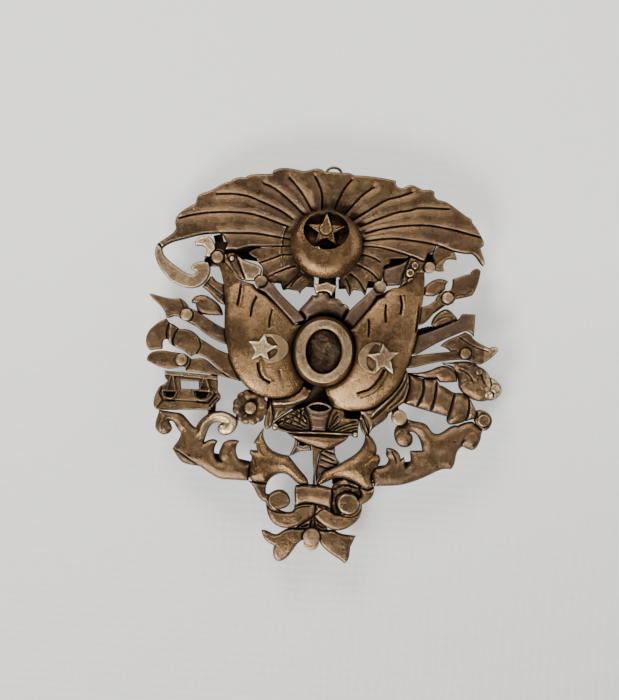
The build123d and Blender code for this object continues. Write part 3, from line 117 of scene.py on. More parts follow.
def metalFinish(name, look):
    material = bpy.data.materials.new(name)
    material.use_nodes = True
    tree = material.node_tree
    shader = tree.nodes["Principled BSDF"]
    place = addNode(tree, "ShaderNodeTexCoord")
    toMm = addNode(tree, "ShaderNodeMapping", {"Scale": (1000, 1000, 1000)})
    tree.links.new(place.outputs["Object"], toMm.inputs["Vector"])

    def cloud(scale, detail, roughness=0.55):
        node = addNode(tree, "ShaderNodeTexNoise", {"Scale": scale, "Detail": detail, "Roughness": roughness})
        tree.links.new(toMm.outputs[0], node.inputs["Vector"])
        return node.outputs["Fac"]

    broad, patch, fine = cloud(0.13, 4), cloud(0.7, 5, 0.65), cloud(2.7, 4, 0.75)
    relief = addNode(tree, "ShaderNodeAttribute", attribute_name="relief").outputs["Fac"]
    shade = addNode(tree, "ShaderNodeAmbientOcclusion", {"Distance": 0.0016}, samples=6)
    colour = mixColour(tree, rampMask(tree, broad, 0.38, 0.66), look["base"], look["dark"])
    colour = mixColour(tree, joinMasks(tree, rampMask(tree, patch, 0.50, 0.80), 0.22, "MULTIPLY"), colour,
                       look["worn"])
    roughened = joinMasks(tree, relief, joinMasks(tree, joinMasks(tree, fine, 0.5, "SUBTRACT"), 1.1,
        "MULTIPLY"), "ADD")
    colour = mixColour(tree, rampMask(tree, roughened, look["wornFrom"], look["wornTo"]), colour,
        look["worn"])
    pits = addNode(tree, "ShaderNodeTexVoronoi", {"Scale": 3.6, "Randomness": 1.0})
    tree.links.new(toMm.outputs[0], pits.inputs["Vector"])
    pitMask = joinMasks(tree, rampMask(tree, pits.outputs["Distance"], 0.30, 0.12),
                        rampMask(tree, patch, 0.40, 0.62), "MULTIPLY")
    pitMask = joinMasks(tree, pitMask, look["specks"], "MULTIPLY")
    colour = mixColour(tree, pitMask, colour, look["dark"])
    # painted shade and patina: colour goes toward the grime tone where the relief is concave (patina in
    # hollows), where relief carries the painted wall and rim shade, and where ambient occlusion finds
    # crevices and gaps between pieces (painted shade)
    grimeAndShadeMask = joinMasks(tree, rampMask(tree, relief, -0.16, -0.9), rampMask(tree, shade.outputs["AO"], 0.86,
        0.22))
    colour = mixColour(tree, joinMasks(tree, grimeAndShadeMask, 0.93, "MULTIPLY"), colour, look["grimeAndShade"])
    tree.links.new(colour, shader.inputs["Base Color"])
    shine = addNode(tree, "ShaderNodeMapRange", {"From Min": 0.25, "From Max": 0.75,
                                                 "To Min": look["rough"] - look["roughSpread"] / 2,
                                                 "To Max": look["rough"] + look["roughSpread"]})
    tree.links.new(patch, shine.inputs["Value"])
    dulled = joinMasks(tree, shine.outputs["Result"], joinMasks(tree, grimeAndShadeMask, 0.3, "MULTIPLY"), "ADD")
    tree.links.new(dulled, shader.inputs["Roughness"])
    shader.inputs["Metallic"].default_value = 0.86
    grain = joinMasks(tree, joinMasks(tree, fine, 0.9, "MULTIPLY"),
        joinMasks(tree, pitMask, -0.8, "MULTIPLY"), "ADD")
    grain = joinMasks(tree, grain, joinMasks(tree, patch, 0.35, "MULTIPLY"), "ADD")
    bump = addNode(tree, "ShaderNodeBump", {"Strength": 0.9, "Distance": 0.00013})
    tree.links.new(grain, bump.inputs["Height"])
    tree.links.new(bump.outputs["Normal"], shader.inputs["Normal"])
    return material


metals = {name: metalFinish(name, look) for name, look in finishes.items()}
print("finishes made", len(metals))


# shapes from the frame: each solid's flat back gives the outline of its front

def backOutlines(node):
    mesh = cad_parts[node].data
    count = len(mesh.polygons)
    normals = np.empty(count * 3)
    mesh.polygons.foreach_get("normal", normals)
    centres = np.empty(count * 3)
    mesh.polygons.foreach_get("center", centres)
    points = np.empty(len(mesh.vertices) * 3)
    mesh.vertices.foreach_get("co", points)
    normals, centres, points = (a.reshape(-1, 3) for a in (normals, centres, points))
    back = centres[:, 1].max()
    found, last = [], -5
    for index in np.where((normals[:, 1] > 0.999) & (abs(centres[:, 1] - back) < 1e-6))[0]:
        if index != last + 1:
            found.append([])
        found[-1].append(int(index))
        last = index
    return [flatLoops(mesh, points, faces) for faces in found], -back / mm


def flatLoops(mesh, points, faces):
    follow, directed = {}, set()
    for index in faces:
        corner = [tuple(np.round(points[v][[0, 2]] / mm, 3)) for v in mesh.polygons[index].vertices]
        for a, b in zip(corner, corner[1:] + corner[:1]):
            if a != b:
                directed.add((a, b))
    for a, b in directed:
        if (b, a) not in directed:
            follow.setdefault(a, []).append(b)
    loops = []
    while follow:
        start = next(iter(follow))
        loop, here = [start], follow[start].pop()
        while here != start and here in follow and follow[here]:
            loop.append(here)
            here = follow[here].pop()
        follow = {a: b for a, b in follow.items() if b}
        if len(loop) > 2:
            loops.append(np.array(loop))
    return sorted(loops, key=lambda loop: -abs(loopArea(loop)))


def loopArea(loop):
    x, z = loop[:, 0], loop[:, 1]
    return 0.5 * np.sum(x * np.roll(z, -1) - z * np.roll(x, -1))


def divided(loop, step):
    out = []
    for a, b in zip(loop, np.roll(loop, -1, axis=0)):
        parts = max(1, int(math.ceil(np.hypot(*(b - a)) / step)))
        out += [a + (b - a) * k / parts for k in range(parts)]
    return np.array(out)


def smoothLine(points, step=0.05):
    p = np.array(points, float)
    p = np.vstack([2 * p[0] - p[1], p, 2 * p[-1] - p[-2]])
    out = []
    for i in range(1, len(p) - 2):
        parts = max(2, int(np.hypot(*(p[i + 1] - p[i])) / step))
        t = (np.arange(parts) / parts)[:, None]
        out.append(0.5 * (2 * p[i] + (p[i + 1] - p[i - 1]) * t
                          + (2 * p[i - 1] - 5 * p[i] + 4 * p[i + 1] - p[i + 2]) * t ** 2
                          + (3 * p[i] - p[i - 1] - 3 * p[i + 1] + p[i + 2]) * t ** 3))
    return np.vstack(out + [p[-2][None, :]])


def distanceTo(samples, xz):
    tree = kdtree.KDTree(len(samples))
    for index, (x, z) in enumerate(samples):
        tree.insert((x, z, 0), index)
    tree.balance()
    return np.array([tree.find((x, z, 0))[2] for x, z in xz])


def insideOf(polygon, xz):
    x, z = xz[:, 0], xz[:, 1]
    inside = np.zeros(len(xz), bool)
    for (ax, az), (bx, bz) in zip(polygon, np.roll(polygon, -1, axis=0)):
        if az != bz:
            crosses = ((az > z) != (bz > z)) & (x < (bx - ax) * (z - az) / (bz - az) + ax)
            inside ^= crosses
    return inside


def gridInside(loops, step):
    low, high = loops[0].min(0), loops[0].max(0)
    points = []
    for row in range(int((high[1] - low[1]) / (step * 0.87)) + 1):
        z = low[1] + row * step * 0.87 + 0.013
        crossings = []
        for loop in loops:
            a, b = loop, np.roll(loop, -1, axis=0)
            hit = (a[:, 1] > z) != (b[:, 1] > z)
            crossings += list(a[hit, 0] + (z - a[hit, 1]) * (b[hit, 0] - a[hit, 0]) / (b[hit, 1] - a[hit, 1]))
        crossings.sort()
        for left, right in zip(crossings[::2], crossings[1::2]):
            x = np.arange(math.ceil((left - low[0]) / step),
                math.floor((right - low[0]) / step) + 1) * step + low[0]
            x = x + (step / 2 if row % 2 else 0)
            x = x[(x > left + step * 0.45) & (x < right - step * 0.45)]
            points.append(np.column_stack([x, np.full(len(x), z)]))
    return np.vstack(points) if points else np.zeros((0, 2))


def triangulated(loops, inner):
    points = [Vector(p) for loop in loops for p in loop] + [Vector(p) for p in inner]
    edges, start = [], 0
    for loop in loops:
        n = len(loop)
        edges += [(start + i, start + (i + 1) % n) for i in range(n)]
        start += n
    verts, _, faces = delaunay_2d_cdt(points, edges, [], 1, 1e-5)[:3]
    xz = np.array([tuple(v) for v in verts])
    tris = np.array([f for f in faces if len(f) == 3])
    middle = xz[tris].mean(1)
    keep = insideOf(loops[0], middle)
    for hole in loops[1:]:
        keep &= ~insideOf(hole, middle)
    tris = tris[keep]
    a, b, c = xz[tris[:, 0]], xz[tris[:, 1]], xz[tris[:, 2]]
    turn = (b[:, 0] - a[:, 0]) * (c[:, 1] - a[:, 1]) - (b[:, 1] - a[:, 1]) * (c[:, 0] - a[:, 0])
    tris = tris[abs(turn) > 1e-9]
    turn = turn[abs(turn) > 1e-9]
    tris[turn < 0] = tris[turn < 0][:, ::-1]
    return xz, tris


def shapeHeight(xz, edgeGap, look):
    x, z = xz[:, 0], xz[:, 1]
    height = np.full(len(xz), float(look["face"]))
    if "dome" in look:
        cx, cz, reach, drop = look["dome"]
        height -= drop * ((x - cx) ** 2 + (z - cz) ** 2) / reach ** 2
    if "dish" in look:
        cx, cz, inner, outer, drop = look["dish"]
        away = np.clip((np.hypot(x - cx, z - cz) - inner) / (outer - inner), 0, 1)
        height -= drop * (1 - away) ** 2
    if "ridge" in look:
        x0, z0, x1, z1, reach, drop = look["ridge"]
        long = math.hypot(x1 - x0, z1 - z0)
        across = ((x - x0) * (z1 - z0) - (z - z0) * (x1 - x0)) / long
        height -= drop * np.minimum((across / reach) ** 2, 1.6)
    if "slope" in look:
        x0, z0, x1, z1, drop = look["slope"]
        t = ((x - x0) * (x1 - x0) + (z - z0) * (z1 - z0)) / ((x1 - x0) ** 2 + (z1 - z0) ** 2)
        height -= drop * np.clip(t, 0, 1.2)
    if "grooves" in look:
        near = distanceTo(np.vstack([smoothLine(line) for line in look["grooves"]]), xz)
        width, depth = look.get("grooveWidth", 0.2), look.get("grooveDepth", 0.5)
        height -= depth * np.exp(-(near / width) ** 2)
        swell, swellWidth = look.get("swell", (0, 1))
        height += swell * (1 - np.exp(-near / swellWidth)) - swell
    for lines, width, rise in look.get("beads", []):
        near = distanceTo(np.vstack([smoothLine(line) for line in lines]), xz)
        height += rise * np.exp(-(near / width) ** 2)
    for corners, top in look.get("plates", []):
        inside = insideOf(np.array(corners, float), xz)
        height = np.where(inside, top, height)
    for cx, cz, radius, top in look.get("buttons", []):
        away = np.hypot(x - cx, z - cz)
        t = np.clip((radius - away) / 0.22, 0, 1)
        rounded = top - 0.22 * (1 - np.sqrt(1 - (1 - t) ** 2))
        height = np.where(away < radius, np.maximum(height, rounded), height)
        height -= 0.12 * np.exp(-((away - radius - 0.1) / 0.14) ** 2)
    t = np.clip(edgeGap / look.get("round", 0.4), 0, 1)
    height -= (look["face"] - look["edge"]) * (1 - np.sqrt(1 - (1 - t) ** 2))
    uneven = look.get("uneven", 0.03)
    waves = [noise.noise(Vector((px * 0.55, pz * 0.55, look["face"]))) * 1.0
             + noise.noise(Vector((px * 1.9, pz * 1.9, 3.0))) * 0.45 for px, pz in xz]
    return np.maximum(height + uneven * np.array(waves), look.get("floor", 1.15))


def reliefMesh(name, loops, look, base):
    step = look.get("step", 0.16)
    loops = [divided(loop, step) for loop in loops]
    inner = gridInside(loops, step)
    rim = np.vstack([divided(loop, 0.05) for loop in (loops if look.get("roundHoles", True) else loops[:1])])
    if len(inner):
        every = np.vstack(loops)
        inner = inner[distanceTo(every, inner) > step * 0.5]
    xz, tris = triangulated(loops, inner)
    edgeGap = distanceTo(rim, xz)
    height = shapeHeight(xz, edgeGap, look)
    links = np.vstack([tris[:, [0, 1]], tris[:, [1, 2]], tris[:, [2, 0]]])
    blurred = height.copy()
    weight = np.bincount(links.ravel(), minlength=len(xz)).astype(float) + 1
    for turn in range(int(round(0.9 / step))):
        total = blurred + np.bincount(links[:, 0], blurred[links[:, 1]], len(xz))
        total += np.bincount(links[:, 1], blurred[links[:, 0]], len(xz))
        blurred = total / weight
    relief = np.clip((height - blurred) / look.get("reliefScale", 0.2), -1.2, 1.2)
    # painted shade: a thin band along every outline edge is pushed dark, standing in for contact shadow at
    # the edges
    relief = relief + look.get("edgeWear", -0.75) * np.exp(-(edgeGap / 0.13) ** 2)
    for corners, amount in look.get("tints", []):
        relief = relief + amount * insideOf(np.array(corners, float), xz)
    ends = {}
    for a, b in links:
        ends[(int(a), int(b))] = True
    border = [(a, b) for a, b in ends if (b, a) not in ends]
    ring = sorted({v for edge in border for v in edge})
    below = {v: len(xz) + k for k, v in enumerate(ring)}
    verts = [(x * mm, -h * mm, z * mm) for (x, z), h in zip(xz, height)]
    verts += [(xz[v][0] * mm, -base * mm, xz[v][1] * mm) for v in ring]
    faces = [tuple(int(v) for v in t) for t in tris]
    faces += [(b, a, below[a], below[b]) for a, b in border]
    backXz, backTris = triangulated(loops, np.zeros((0, 2)))
    start = len(verts)
    verts += [(x * mm, -base * mm, z * mm) for x, z in backXz]
    faces += [tuple(start + int(v) for v in t[::-1]) for t in backTris]
    mesh = bpy.data.meshes.new(name)
    mesh.from_pydata(verts, [], faces)
    tint = mesh.attributes.new("relief", "FLOAT", "POINT")
    # painted shade: side walls and back get the darkest value, standing in for contact shadow and damping the
    # board's reflection on the walls
    values = np.full(len(verts), -1.0)
    values[:len(xz)] = relief
    tint.data.foreach_set("value", values)
    work = bmesh.new()
    work.from_mesh(mesh)
    bmesh.ops.remove_doubles(work, verts=[v for v in work.verts if v.index >= len(xz)], dist=2e-6)
    bmesh.ops.recalc_face_normals(work, faces=work.faces)
    work.to_mesh(mesh)
    work.free()
    mesh.shade_smooth()
    mesh.set_sharp_from_angle(angle=math.radians(48))
    return mesh


def placePiece(name, mesh, finish, nodes=(), body="badge"):
    piece = bpy.data.objects.new(name, mesh)
    scene.collection.objects.link(piece)
    mesh.materials.clear()
    mesh.materials.append(metals[finish])
    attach(piece, body)
    if nodes:
        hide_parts(*nodes)
    return piece


def makePiece(node, *looks):
    outlines, base = backOutlines(node)
    for number, (loops, look) in enumerate(zip(outlines, looks)):
        name = look.get("name", node if number == 0 else f"{node}_{number + 1}")
        mesh = reliefMesh(name + "_front", loops, look, look.get("base", base))
        placePiece(name + "_front", mesh, look.get("finish", "agedBrass"), [node])
    print("made", node, len(outlines), "outlines", [round(abs(loopArea(o[0])), 1) for o in outlines])


# the sunburst, the crescent and the rays below them

rayFan = {"face": 3.35, "edge": 2.6, "round": 0.5, "step": 0.13, "grooveWidth": 0.11, "grooveDepth": 0.45,
    "swell": (0.55, 0.9), "dome": (-0.6, 18, 34, 0.7), "dish": (-0.6, 19, 6.2, 14, 0.95), "uneven": 0.025,
    "grooves": [[(-19.8, 20.05), (-16, 20.25), (-13, 20.3), (-8.6, 19.85), (-7, 19.7)],
    [(-27.3, 22.3), (-25, 23), (-22, 23.6), (-18.5, 23.9), (-15.5, 23.9), (-13, 23.5), (-9.5, 22.5),
    (-7.6, 21.9)], [(-20.8, 27), (-18, 27.2), (-15.5, 27), (-13, 26.2), (-9, 24.6), (-7, 23.3)],
    [(-12.5, 29.4), (-10.5, 28.6), (-8.5, 27.2), (-7, 26), (-4.9, 24.2)],
    [(-8, 30.7), (-6.5, 29.2), (-5.2, 27.6), (-4.2, 26), (-3.6, 25)],
    [(-3.4, 31.2), (-2.6, 29.8), (-2, 28.2), (-1.8, 25.4)], [(3.3, 31), (2.2, 29.6), (1.3, 27.8),
    (0.5, 25.5)], [(7.3, 29.9), (5.5, 28.5), (4, 26.8), (2.2, 24.6)],
    [(14.2, 29.4), (12, 28.5), (10, 27.9), (8.5, 27), (6.5, 25.6), (3.8, 23.7)],
    [(21, 26.8), (16, 26.7), (14, 26.1), (12, 25.7), (9.5, 24.7), (7.5, 23.8), (5.2, 22.7)],
    [(27, 22.1), (24.5, 22.6), (22, 23.1), (19, 23.5), (17, 23.6), (14, 23.4), (11, 22.9), (8.5, 22.3),
    (6.2, 21.5)], [(20.5, 19.8), (18, 20.4), (15, 20.7), (12, 20.9), (9.5, 20.7), (6, 20.1)]],
    "beads": [([[(-8.1, 22), (-8.6, 20), (-8.7, 18.6)]], 0.16, 0.3)]}
makePiece("ray_fan", rayFan)

lowerRays = {"face": 2.7, "edge": 2.35, "round": 0.3, "step": 0.12, "grooveWidth": 0.1, "grooveDepth": 0.4,
             "swell": (0.25, 0.6), "dish": (-0.6, 19, 6.2, 11, 0.5), "uneven": 0.08}
makePiece("lower_left_rays", {**lowerRays, "grooves": [[(-6.9, 17), (-8.5, 16.8), (-10, 16.1),
    (-12.4, 15.1)], [(-4.9, 13.9), (-6.4, 12.2), (-8, 10.5)], [(-5.9, 15), (-7.2, 14.5), (-9.4, 13.5)],
    [(-4.6, 13.6), (-5.8, 12.4), (-6.6, 11.2)]], "beads": [([[(-8.7, 18), (-8.55, 16.5), (-8.4, 15)],
    [(-7, 14.9), (-9.3, 13.7), (-10.5, 13)]], 0.13, 0.22)]})
makePiece("lower_right_rays", {**lowerRays, "grooves": [
    [(5.9, 17.8), (7.5, 17.4), (9.3, 16.6)], [(5.2, 15.9), (6.5, 15.3), (8, 14.4), (9, 13.3)],
    [(4, 14.2), (5.5, 13), (6.9, 11)], [(3.2, 13.3), (3.9, 12), (4.2, 10.6)]]})

crescentDome = {"face": 5.5, "edge": 3.0, "round": 2.6, "roundHoles": False, "step": 0.13, "uneven": 0.05,
                "dome": (-0.7, 17.0, 8, 0.25), "finish": "flagBrass"}
makePiece("crescent_dome", crescentDome)
crescentStar = {"face": 3.9, "edge": 3.5, "round": 0.35, "step": 0.1, "finish": "flagBrass",
    "plates": [([(-0.8, 24.5), (-0.3, 23.2), (0.1, 22.2), (0.15, 21.5), (-0.2, 20.95), (-0.9, 20.65),
    (-1.6, 20.9), (-1.95, 21.5), (-1.9, 22.2), (-1.4, 23.2)], 4.85)],
    "grooves": [[(-1.2, 20.2), (-1.3, 19.2)], [(-0.5, 20.2), (-0.4, 19.2)], [(-2.6, 21.9), (-3.4, 22.2)],
    [(0.9, 22), (2, 22.4)]], "grooveDepth": 0.25, "grooveWidth": 0.1}
makePiece("star", crescentStar)
print("sunburst made")


# crown and hood above the oval, and the oval itself

makePiece("crown", {"face": 3.4, "edge": 2.8, "round": 0.35, "step": 0.12, "uneven": 0.12,
    "finish": "paleBrass"})
ovalHood = {"face": 4.3, "edge": 2.7, "round": 1.3, "dome": (0, 5.5, 8, 0.9), "finish": "dullBrass",
    "step": 0.13, "uneven": 0.04, "beads": [([[(-4.6, 7.7), (-3.9, 8.6)], [(-3.6, 8.9), (-2.9, 9.7)],
    [(-1.8, 10), (-0.9, 10.4)], [(0.8, 9.7), (1.8, 9.5)], [(2.1, 9.3), (2.9, 8.7)], [(3.3, 8.5), (4, 7.9)]],
    0.2, 0.3)]}
makePiece("oval_hood", ovalHood)

oval = {"centre": (0.05, -0.1), "outer": (5.58, 6.35), "top": (5.05, 5.65), "inner": (3.2, 4.0), "steps": 160}


def ovalRing(name, profile, look, finish, nodes):
    mesh = bpy.data.meshes.new(name)
    steps, verts, faces = look["steps"], [], []
    for k in range(steps):
        angle = 2 * math.pi * k / steps
        for (rx, rz), depth in profile:
            wobble = 1 + 0.004 * noise.noise(Vector((math.cos(angle) * 2, math.sin(angle) * 2, depth)))
            verts.append(((look["centre"][0] + rx * math.cos(angle) * wobble) * mm, -depth * mm,
                          (look["centre"][1] + rz * math.sin(angle) * wobble) * mm))
    n = len(profile)
    for k in range(steps):
        for j in range(n):
            a, b = k * n + j, k * n + (j + 1) % n
            c, d = ((k + 1) % steps) * n + (j + 1) % n, ((k + 1) % steps) * n + j
            faces.append((a, b, c, d))
    mesh.from_pydata(verts, [], faces)
    # painted shade and painted highlight: the ring's lower walls are darkened and its top is lightened, by
    # depth alone
    tint = mesh.attributes.new("relief", "FLOAT", "POINT")
    tint.data.foreach_set("value", [-0.7 if depth < 4.6 else (0.16 if depth > 6.3 else -0.3)
                                    for radii, depth in profile] * steps)
    work = bmesh.new()
    work.from_mesh(mesh)
    bmesh.ops.recalc_face_normals(work, faces=work.faces)
    work.to_mesh(mesh)
    work.free()
    mesh.shade_smooth()
    mesh.set_sharp_from_angle(angle=math.radians(50))
    return placePiece(name, mesh, finish, nodes)


def between(first, second, share):
    return tuple(a + (b - a) * share for a, b in zip(first, second))


flare = [(oval["outer"], 1.0), (oval["outer"], 3.4), (between(oval["outer"], oval["top"], 0.12), 4.4),
         (between(oval["outer"], oval["top"], 0.45), 5.1), (between(oval["outer"], oval["top"], 0.9), 5.9),
         (between(oval["top"], oval["inner"], 0.06), 5.9), (between(oval["top"], oval["inner"], 0.3), 5.5),
         (between(oval["top"], oval["inner"], 0.7), 5.0), (between(oval["top"], oval["inner"], 0.7), 1.0)]
ovalRing("oval_flare", flare, oval, "flagBrass", ["oval_frame"])
rim = [(between(oval["top"], oval["inner"], 0.0), 5.75), (between(oval["top"], oval["inner"], 0.0), 6.38),
       (between(oval["top"], oval["inner"], 0.05), 6.55), (between(oval["top"], oval["inner"], 0.12), 6.6),
       (between(oval["top"], oval["inner"], 0.5), 6.62), (between(oval["top"], oval["inner"], 0.88), 6.6),
       (between(oval["top"], oval["inner"], 0.96), 6.5), (oval["inner"], 6.25), (oval["inner"], 4.0),
       (oval["inner"], 1.0), (between(oval["top"], oval["inner"], 0.71), 1.0),
       (between(oval["top"], oval["inner"], 0.71), 5.75)]
ovalRing("oval_rim", rim, oval, "paleBrass", [])
makePiece("oval_field", {"face": 4.15, "edge": 3.7, "round": 1.2, "step": 0.12, "uneven": 0.22,
                         "finish": "fieldBrass"})
print("oval made")


# flags with their poles and emblems

flagCloth = {"face": 5.45, "edge": 4.7, "round": 1.1, "step": 0.14, "uneven": 0.03, "floor": 2.5,
             "grooveWidth": 0.15, "grooveDepth": 0.55, "finish": "flagBrass"}
makePiece("left_flag", {**flagCloth, "dome": (-10.6, 0.6, 11, 2.5),
    "grooves": [[(-15.5, 11.2), (-15.6, 9.2), (-15.85, 7.3)], [(-12.6, 8.9), (-13.2, 7.2), (-13.4, 5.4)],
    [(-9.6, 6.8), (-9.9, 5.2), (-9.95, 3.6)], [(-11.6, -2.9), (-11.3, -4.3), (-10.6, -5.5), (-9.3, -6.2)],],
    "beads": [([[(-11, -2.7), (-10.75, -4.1), (-10.1, -5.2), (-9, -5.8)],
    [(-15.2, 11), (-15.25, 9.2), (-15.5, 7.4)]], 0.3, 0.22), ([[(-7.6, -4), (-7.4, -5)]], 0.15, -0.3)]})
makePiece("right_flag", {**flagCloth, "dome": (9.8, 0.4, 11, 2.4),
    "grooves": [[(13.2, 10.6), (13.5, 9), (13.3, 7.4)], [(10.7, 8.8), (10.6, 7.4), (10.8, 5.8)],
    [(11, -2.7), (10.2, -4.4), (8.8, -6.2), (6.6, -7.2)], [(7.7, 6), (7.85, 4.5), (7.8, 3)],
    [(16.9, 12.5), (16.75, 9), (16.3, 4.5)]], "beads": [([[(11.5, -2.9), (10.75, -4.8), (9.3, -6.7),
    (7, -7.8)], [(13.7, 10.5), (13.95, 9), (13.8, 7.4)]], 0.28, 0.3)]})
emblem = {"face": 5.75, "edge": 5.5, "round": 0.25, "step": 0.1, "uneven": 0.04, "base": 3.9,
    "finish": "paleBrass"}
leftStar = [(-13.5, 0.9), (-12.2, -0.55), (-12.7, -2.4), (-11.1, -1.45), (-9.6, -2.2), (-9.7, -0.6),
    (-8.3, 0.3), (-10, 0.75), (-10.7, 2.3), (-11.5, 0.95)]
rightStar = [(13.7, 0.55), (11.9, 0.5), (10.5, 1.95), (10, 0.2), (7.9, -0.25), (9.5, -1.3), (9.6, -3.1),
    (10.9, -2.1), (12.6, -3.4), (12.1, -1.2)]
makePiece("left_emblem", {**emblem, "dome": (-9, 0.5, 5, 0.25), "plates": [(leftStar, 6.15)],
    "tints": [(leftStar, 0.3)]})
makePiece("right_emblem", {**emblem, "dome": (9, 0, 5, 0.25), "plates": [(rightStar, 6.1)],
    "tints": [(rightStar, 0.15)]})
flagPole = {"face": 4.55, "edge": 4.1, "round": 0.5, "step": 0.14, "uneven": 0.05, "finish": "dullBrass"}
makePiece("left_pole", flagPole)
makePiece("right_pole", flagPole)
print("flags made")


# pole tips, curls and leaves between the sunburst and the flags

spearTip = {"face": 3.1, "edge": 2.6, "round": 0.4, "step": 0.13, "uneven": 0.08}
makePiece("left_pole_tip", {**spearTip, "finish": "paleBrass", "ridge": (-16.5, 16.3, -12.4, 12.3, 2.2,
    0.35)})
makePiece("right_pole_tip", {**spearTip, "finish": "dullBrass", "ridge": (14.4, 17.6, 10.2, 12.4, 2.2, 0.35)})
makePiece("right_link", {**spearTip, "face": 2.6, "edge": 2.0, "uneven": 0.22,
    "buttons": [(14.7, 14.9, 0.75, 3.3), (15.5, 16.3, 0.7, 3.0), (14.9, 13.5, 0.55, 2.9)]})
curl = {"face": 3.5, "edge": 3.1, "round": 0.3, "step": 0.12, "uneven": 0.05, "finish": "paleBrass",
        "tints": [([(-25, 20), (-18, 20), (-18, 13), (-25, 13)], 0.3)]}
makePiece("comma_curl", curl, {"face": 2.0, "edge": 1.7, "round": 0.3, "uneven": 0.1, "step": 0.14})
makePiece("left_slip", {"face": 2.7, "edge": 2.1, "round": 0.5, "uneven": 0.12, "step": 0.13,
                        "grooves": [[(-18.3, 16.2), (-17, 14), (-15.6, 12.2)]], "grooveDepth": 0.3,
                        "buttons": [(-17.4, 15.6, 0.45, 3.1)]})
makePiece("wing_leaf", {"face": 2.7, "edge": 2.2, "round": 0.4, "uneven": 0.08, "step": 0.13,
                        "grooves": [[(19.4, 16.6), (20.3, 17.6), (21.9, 18.6)]], "grooveDepth": 0.2})
hookScroll = {"face": 2.95, "edge": 2.6, "round": 0.3, "step": 0.13, "uneven": 0.05}
makePiece("hook_scroll", {**hookScroll, "finish": "paleBrass", "tints": [([(-32, 20), (-20, 20), (-20, 8),
    (-32, 8)], 0.12)]})
print("curls made")


# arms behind the left flag

arms = {"face": 2.9, "edge": 2.55, "round": 0.28, "step": 0.13, "uneven": 0.07, "grooveWidth": 0.12}
makePiece("left_halberd", {**arms, "ridge": (-31, 8.2, -17, 1.4, 3, 0.3),
    "grooves": [[(-26.2, 7.7), (-25.9, 7), (-25.6, 6.2)]], "grooveDepth": 0.3})
makePiece("left_blade", {**arms, "face": 2.6, "edge": 1.9, "round": 1.1})
makePiece("left_leaf", {**arms, "face": 2.3, "edge": 1.7, "round": 0.9,
                        "grooves": [[(-21.6, 11), (-20.2, 9.9), (-18.6, 8.9)]], "grooveDepth": 0.3})
makePiece("left_axe", {**arms, "face": 3.0, "ridge": (-30, 1.5, -15.5, -5, 5, 0.5), "grooveDepth": 0.5,
    "grooves": [[(-26.3, 2.33), (-26.9, 1.2), (-27.1, 0), (-26.8, -0.8)],
    [(-22.5, 1), (-22.1, -0.6), (-22.7, -1.9)], [(-28, 3.2), (-28.3, 1.8), (-28.2, 0.5)]],
    "beads": [([[(-27.6, 2.9), (-27.7, 1.6), (-27.6, 0.4)]], 0.3, 0.35)]})
makePiece("left_pick", {**arms, "face": 2.7, "ridge": (-31, -2.9, -17, -4.9, 2.4, 0.35),
                        "grooves": [[(-23.7, -2.9), (-23.9, -4), (-24.5, -5)]], "grooveDepth": 0.4})
tablet = {"face": 2.2, "edge": 2.0, "round": 0.25, "step": 0.11, "uneven": 0.05, "grooveWidth": 0.12,
          "grooveDepth": 0.35, "grooves": [
    [(-28.2, -10.55), (-24, -10.5), (-20.2, -10.6)], [(-20.2, -10.6), (-19.2, -9.4), (-18.8, -8.8)],
    [(-19.9, -11.2), (-18.6, -9.6)], [(-19.5, -11.6), (-18.2, -9.8)], [(-28.2, -10.55), (-29.2, -11.9)],
    [(-28.6, -8.2), (-28.9, -9.4), (-28.3, -10.5)]],
    "plates": [([(-28.3, -5.3), (-18.8, -5.65), (-18.8, -6.35), (-28.2, -6.0)], 2.9),
               ([(-22.6, -8.6), (-20.0, -8.7), (-20.6, -9.7), (-21.4, -9.95), (-22.2, -9.6)], 1.45),
               ([(-28.1, -9.0), (-26.2, -9.0), (-26.4, -9.8), (-27.7, -9.9)], 1.55)],
    "beads": [([[(-23, -8.5), (-22.7, -9.6), (-21.6, -10.2), (-20.4, -10), (-19.6, -9.2), (-19.4, -8.6)],
                [(-22.9, -8.45), (-21.2, -8.4), (-19.4, -8.55)],
                [(-28.4, -8.85), (-28.2, -9.8), (-27.4, -10.15), (-26.5, -10.1), (-26, -9.4), (-25.9, -8.8)],
                [(-28.3, -8.8), (-26, -8.8)]], 0.15, 0.75)]}
makePiece("scales_tablet", tablet)
print("left arms made")


# flower stem, drapes, vase and bowl

makePiece("stalk_leaf", {"face": 2.9, "edge": 2.1, "round": 0.6, "step": 0.12, "uneven": 0.06,
                         "grooves": [[(-9.1, -11.4), (-9.2, -12.8), (-9.1, -13.9)]], "grooveDepth": 0.3})
drape = {"face": 3.3, "edge": 2.3, "round": 0.9, "step": 0.14, "uneven": 0.06}
makePiece("left_drape", {**drape, "beads": [([[(-8.7, -10), (-6, -9.8), (-4, -9.2), (-2.2, -8.4)]], 0.3,
    0.45)], "grooves": [[(-8.5, -10.6), (-6, -10.4), (-4, -9.9)], [(-7.9, -12.6), (-6.4, -11),
    (-5, -10.4)]], "grooveDepth": 0.25})
makePiece("right_drape", {**drape, "grooves": [[(15.2, -3.6), (14.9, -5), (13.4, -7.4), (11.6, -9.6),
    (9.6, -11.6)], [(15.5, -5), (14.6, -7.6), (12.6, -9.6)]], "grooveDepth": 0.4,
    "beads": [([[(14.9, -3.2), (14.5, -4.9), (13, -7.1), (11.2, -9.1), (9.6, -10.8)]], 0.28, 0.4)]},
    {"face": 2.3, "edge": 1.8, "round": 0.4, "step": 0.12, "grooves": [[(7.6, -12), (8, -13.2),
    (8.7, -14.3)]], "grooveDepth": 0.3})
